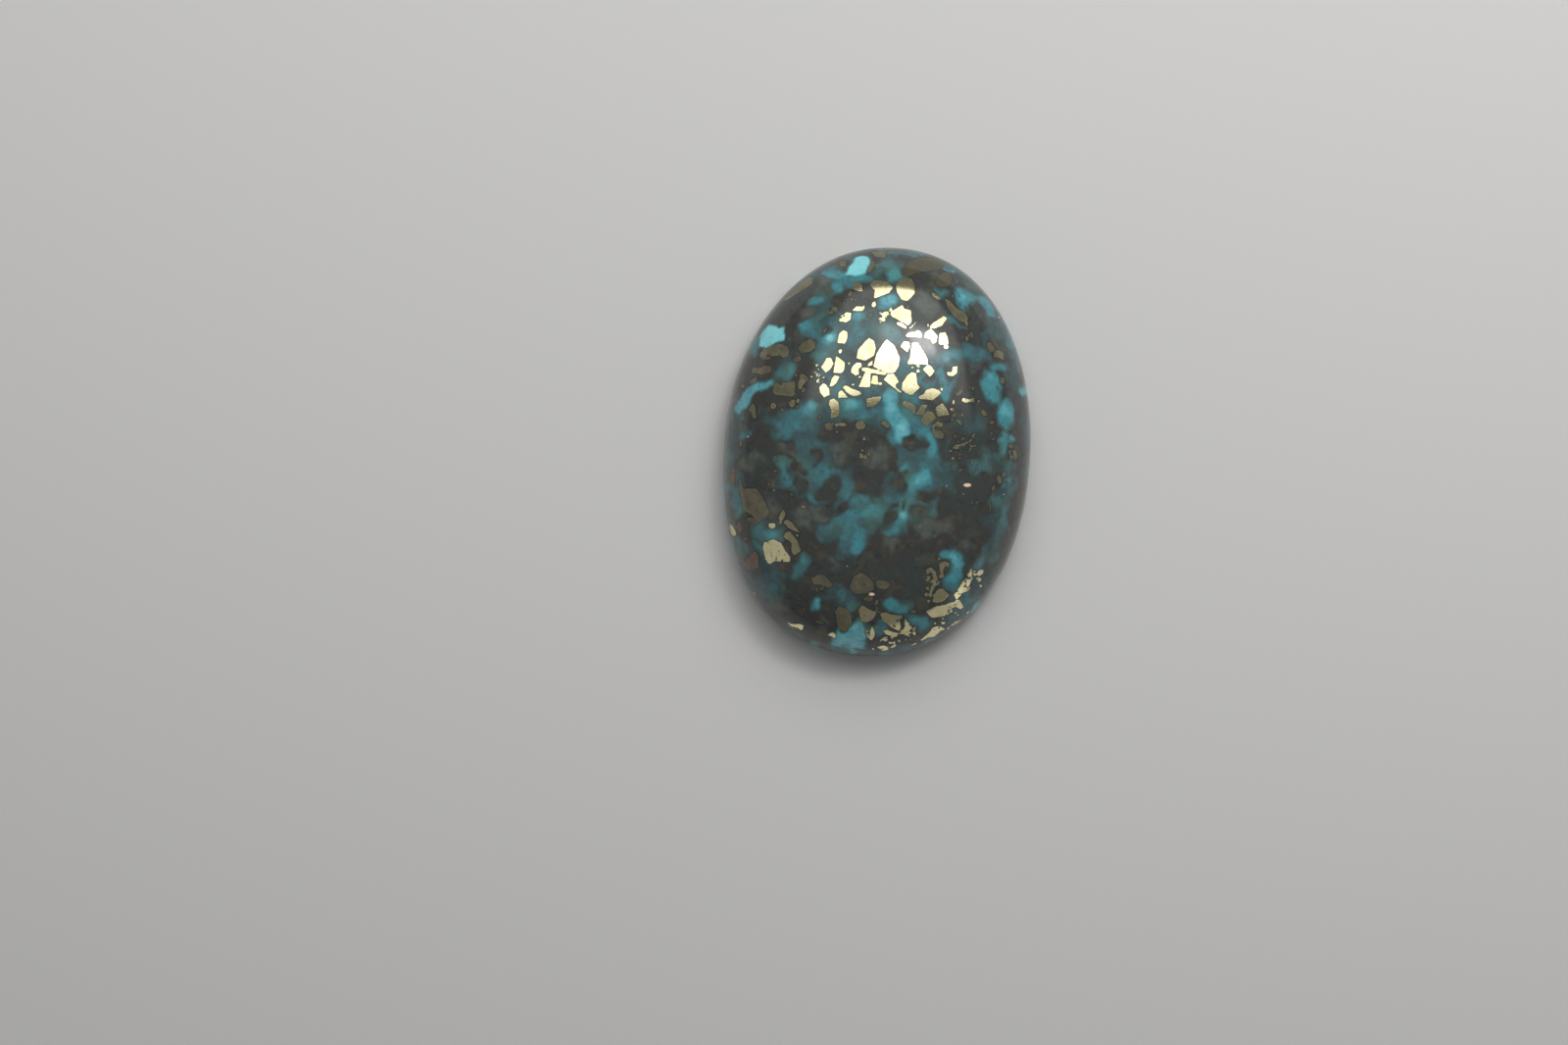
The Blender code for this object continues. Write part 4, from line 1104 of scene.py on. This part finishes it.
def polished_turquoise():
    """The stone's own material."""
    material = bpy.data.materials.new("polished_turquoise")
    material.use_nodes = True
    tree = material.node_tree
    shader = tree.nodes["Principled BSDF"]
    place = add_node(tree, "ShaderNodeTexCoord").outputs["Object"]
    mark = {}
    for name in marks:
        mark[name] = add_node(tree, "ShaderNodeAttribute", attribute_name=name).outputs["Fac"]
    soft = {"interpolation_type": "SMOOTHSTEP"}

    def grain(size, detail=3.0, shift=0.0):
        """Natural noise from 0 to 1 with grains of this size in millimetres."""
        spot = add_node(tree, "ShaderNodeMapping", {"Vector": place, "Location": [shift * MM] * 3})
        inputs = {"Vector": spot.outputs["Vector"], "Scale": 1 / (size * MM), "Detail": detail}
        return add_node(tree, "ShaderNodeTexNoise", inputs).outputs["Fac"]

    def lay_over(under, over, cover, start, full, most=1.0):
        """One colour over another, from nothing where the cover is at start to the most at full."""
        inputs = {"Value": cover, "From Min": start, "From Max": full, "To Max": most}
        share = add_node(tree, "ShaderNodeMapRange", inputs, **soft).outputs[0]
        inputs = {0: share, 6: under, 7: over}
        return add_node(tree, "ShaderNodeMix", inputs, data_type="RGBA").outputs[2]

    # Host rock: brown-black and green-black, with darker grains, fields of pale specks and grey clouds
    stone = colour(HOST_ROCK)
    for hue, size, detail, shift, start, full, most in ROCK_GRAINS:
        stone = lay_over(stone, colour(hue), grain(size, detail, shift), start, full, most)
    inputs = {"Value": grain(2.0, 2.0, 6.0), "From Min": 0.5, "From Max": 0.66}
    speckled = add_node(tree, "ShaderNodeMapRange", inputs, **soft).outputs[0]
    stone = lay_over(stone, colour("77736a"), grain(0.26, 2.0, 4.0), 0.66, 0.76, speckled)
    stone = lay_over(stone, colour("697069"), grain(1.0, 4.0, 2.0), 0.2, 0.65, mark["grey"])

    # Turquoise: cloudy at two sizes with small dark motes, and greener from place to place
    cloudy = -sum(swing for *_, swing in CLOUDINESS) / 2
    for size, detail, shift, swing in CLOUDINESS:
        inputs = {0: grain(size, detail, shift), 1: swing, 2: cloudy}
        cloudy = add_node(tree, "ShaderNodeMath", inputs, operation="MULTIPLY_ADD").outputs[0]
    inputs = {"Value": grain(0.36, 2.0, 17.0), "From Min": 0.6, "From Max": 0.72, "To Max": -MOTE_DEPTH}
    motes = add_node(tree, "ShaderNodeMapRange", inputs, **soft).outputs[0]
    cloudy = add_node(tree, "ShaderNodeMath", {0: cloudy, 1: motes}, operation="ADD").outputs[0]
    inputs = {"Value": mark["turquoise"], "From Min": 0.02, "From Max": 0.3}
    within = add_node(tree, "ShaderNodeMapRange", inputs, **soft).outputs[0]
    inputs = {0: cloudy, 1: within, 2: mark["turquoise"]}
    tone = add_node(tree, "ShaderNodeMath", inputs, operation="MULTIPLY_ADD", use_clamp=True).outputs[0]
    ramp = add_node(tree, "ShaderNodeValToRGB", {"Fac": tone})
    elements = ramp.color_ramp.elements
    while len(elements) < len(TURQUOISE_TONES):
        elements.new(0.5)
    for element, (position, text) in zip(elements, TURQUOISE_TONES):
        element.position = position
        element.color = colour(text)
    turquoise = lay_over(ramp.outputs["Color"], colour("6a9a86"), grain(3.2, 2.0, 7.0), 0.5, 0.68, 0.28)
    stone = lay_over(stone, turquoise, tone, 0.03, 0.2)
    stone = lay_over(stone, colour("b9b6a8"), mark["quartz"], -0.03, 0.05)

    # Pyrite: brassy where clean; olive where dull, which is partly tarnish and partly painted shade; a
    # darker olive where shaded, all painted shade; and brown where rusty, with a thin dark seam round it.
    # The glints are painted highlights: warm white colour where a crystal face would catch the lamp.
    inputs = {0: grain(0.22, 2.0), 1: EDGE_UNEVENNESS, 2: mark["pyrite"]}
    depth = add_node(tree, "ShaderNodeMath", inputs, operation="MULTIPLY_ADD").outputs[0]
    stone = lay_over(stone, colour("2e302d"), depth, *SEAM_EDGE, 0.45)
    brass = lay_over(colour("f5edc2"), colour("eadfa2"), grain(0.5), 0.4, 0.7)
    olive = lay_over(colour("6a6756"), colour("7c7860"), grain(0.8, 4.0), 0.35, 0.65)
    rust = lay_over(colour("8a6a55"), colour("6c5f55"), grain(0.5, 3.0, 8.0), 0.4, 0.65)
    # Olive is partly painted shade, for flakes that would mirror dim surroundings; 565544 is painted shade
    # alone.
    pyrite = lay_over(brass, olive, mark["dullness_and_shade"], 0.0, 0.95)
    pyrite = lay_over(pyrite, colour("565544"), mark["dullness_and_shade"], 1.0, 1.3)
    pyrite = lay_over(pyrite, rust, mark["dullness_and_shade"], 1.3, 2.0)
    surface = lay_over(stone, pyrite, depth, *FLAKE_EDGE)
    # The painted highlights: warm white with an orange edge
    painted_glint = lay_over(colour("f0a860"), colour("fffaf0"), mark["painted_glint"], 0.4, 0.7)
    surface = lay_over(surface, painted_glint, mark["painted_glint"], 0.25, 0.45)

    # The metal's mirror, which the dull flakes and those given painted shade have nearly lost
    inputs = {"Value": mark["dullness_and_shade"], "To Min": 1.0, "To Max": DULL_MIRROR}
    shine = add_node(tree, "ShaderNodeMapRange", inputs, **soft).outputs[0]
    inputs = {"Value": depth, "From Min": FLAKE_EDGE[0], "From Max": FLAKE_EDGE[1], "To Max": 1.0}
    flake = add_node(tree, "ShaderNodeMapRange", inputs, **soft).outputs[0]
    mirror = add_node(tree, "ShaderNodeMath", {0: flake, 1: shine}, operation="MULTIPLY").outputs[0]

    # The polish, with the small pits that pyrite takes
    inputs = {0: mark["ground"], 1: GROUND_ROUGHNESS - POLISHED_ROUGHNESS, 2: POLISHED_ROUGHNESS}
    polish = add_node(tree, "ShaderNodeMath", inputs, operation="MULTIPLY_ADD").outputs[0]
    inputs = {0: flake, 1: PYRITE_ROUGHNESS - POLISHED_ROUGHNESS, 2: polish}
    roughness = add_node(tree, "ShaderNodeMath", inputs, operation="MULTIPLY_ADD").outputs[0]
    inputs = {"Value": grain(0.12, 1.0), "From Min": 0.3, "From Max": 0.45, "To Max": flake}
    pits = add_node(tree, "ShaderNodeMapRange", inputs, **soft).outputs[0]
    relief = add_node(tree, "ShaderNodeBump", {"Strength": 0.05, "Distance": 0.02 * MM, "Height": pits})
    tree.links.new(surface, shader.inputs["Base Color"])
    tree.links.new(mirror, shader.inputs["Metallic"])
    tree.links.new(roughness, shader.inputs["Roughness"])
    tree.links.new(relief.outputs["Normal"], shader.inputs["Normal"])
    shader.inputs["IOR"].default_value = STONE_IOR
    return material


stone_mesh.materials.append(polished_turquoise())
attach(stone, "root")
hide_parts("turquoise_stone")

# The floor: a plain pale sheet of matt board, level with the stone's back.
FLOOR_SIZE = 3000 * MM
floor_form = bmesh.new()
bmesh.ops.create_grid(floor_form, x_segments=1, y_segments=1, size=FLOOR_SIZE / 2)
floor_mesh = bpy.data.meshes.new("floor")
floor_form.to_mesh(floor_mesh)
floor_form.free()
floor_material = bpy.data.materials.new("matt_board")
floor_material.use_nodes = True
board = floor_material.node_tree.nodes["Principled BSDF"]
board.inputs["Base Color"].default_value = colour("f0efed")
board.inputs["Roughness"].default_value = 0.85
board.inputs["Specular IOR Level"].default_value = 0.2
floor_mesh.materials.append(floor_material)
floor = bpy.data.objects.new("floor", floor_mesh)
bpy.context.scene.collection.objects.link(floor)


# The light: one level soft panel above and beyond the stone, with a brighter band and core, whose
# reflection covers the upper part of the dome, and three dim ones at the sides for its lower parts.
# Places and sizes are in millimetres in the photograph's directions, from the stone's middle.
MAIN_CENTRE = (56, 321)
MAIN_HEIGHT = 300
MAIN_SIZE = (502, 494)
MAIN_RADIANCE = 0.45
# The main panel is laid in three sheets of these shares of its size, each this much below the last,
# so that the edge of its light is soft.
MAIN_SHEETS = (0.96, 1.0, 1.04)
SHEET_GAP = 2
# The other panels that face straight down and those that face the stone are each (name, centre,
# width, depth, radiance).
LEVEL_PANELS = (
    ("bright_band", (110, 188, 302), 230, 110, 2.6),
    ("bright_core", (114, 190, 304), 80, 64, 8.0),
)
TURNED_PANELS = (
    ("low_fill", (321, -251, 40), 150, 110, 0.4),
    ("front_fill", (150, -400, 60), 420, 120, 0.2),
    ("left_fill", (-290, -135, 142), 160, 180, 0.22),
)
ROOM_RADIANCE = 0.14


def from_photograph(x, y, z=0.0):
    """Takes a place in the photograph's directions to the stone's own frame, in metres."""
    return Vector(
        (
            (x * math.cos(LEAN) - y * math.sin(LEAN)) * MM,
            (x * math.sin(LEAN) + y * math.cos(LEAN)) * MM,
            z * MM,
        )
    )


def add_panel(name, centre, width, depth, radiance, faces_stone=False):
    """An area light of this size, centre and brightness, which faces straight down or the stone."""
    light = bpy.data.lights.new(name, "AREA")
    light.shape = "RECTANGLE"
    light.size = width * MM
    light.size_y = depth * MM
    # An area light of P watts over A square metres shines with P / (pi A).
    light.energy = radiance * math.pi * light.size * light.size_y
    panel = bpy.data.objects.new(name, light)
    panel.location = from_photograph(*centre)
    panel.rotation_euler = (0.0, 0.0, LEAN)
    if faces_stone:
        panel.rotation_euler = (-panel.location).to_track_quat("-Z", "Y").to_euler()
    bpy.context.scene.collection.objects.link(panel)


for sheet, spread in enumerate(MAIN_SHEETS):
    centre = (*MAIN_CENTRE, MAIN_HEIGHT - SHEET_GAP * sheet)
    width, depth = (spread * size for size in MAIN_SIZE)
    add_panel(f"main_panel_{sheet + 1}", centre, width, depth, MAIN_RADIANCE)
for panel in LEVEL_PANELS:
    add_panel(*panel)
for panel in TURNED_PANELS:
    add_panel(*panel, faces_stone=True)
world = bpy.data.worlds.new("studio")
world.use_nodes = True
world.node_tree.nodes["Background"].inputs["Color"].default_value = colour("ffffff")
world.node_tree.nodes["Background"].inputs["Strength"].default_value = ROOM_RADIANCE
bpy.context.scene.world = world
bpy.context.scene.view_settings.view_transform = "Standard"

# The camera: straight above, at the photograph's framing and angle.
PHOTO_WIDTH_PX, PHOTO_HEIGHT_PX = 1600, 1066
STONE_CENTRE_PX = (895, 461)
PX_PER_MM = 11.0
LENS_MM = 100.0
SENSOR_MM = 36.0

camera_data = bpy.data.cameras.new("camera")
camera_data.lens = LENS_MM
camera_data.sensor_width = SENSOR_MM
camera_data.clip_start = 10 * MM
camera_data.clip_end = 10000 * MM
camera = bpy.data.objects.new("camera", camera_data)
view_height = PHOTO_WIDTH_PX / PX_PER_MM * LENS_MM / SENSOR_MM
camera.location = from_photograph(
    (PHOTO_WIDTH_PX / 2 - STONE_CENTRE_PX[0]) / PX_PER_MM,
    (STONE_CENTRE_PX[1] - PHOTO_HEIGHT_PX / 2) / PX_PER_MM,
    view_height + GIRDLE_HEIGHT,
)
camera.rotation_euler = (0.0, 0.0, LEAN)
bpy.context.scene.collection.objects.link(camera)
bpy.context.scene.camera = camera
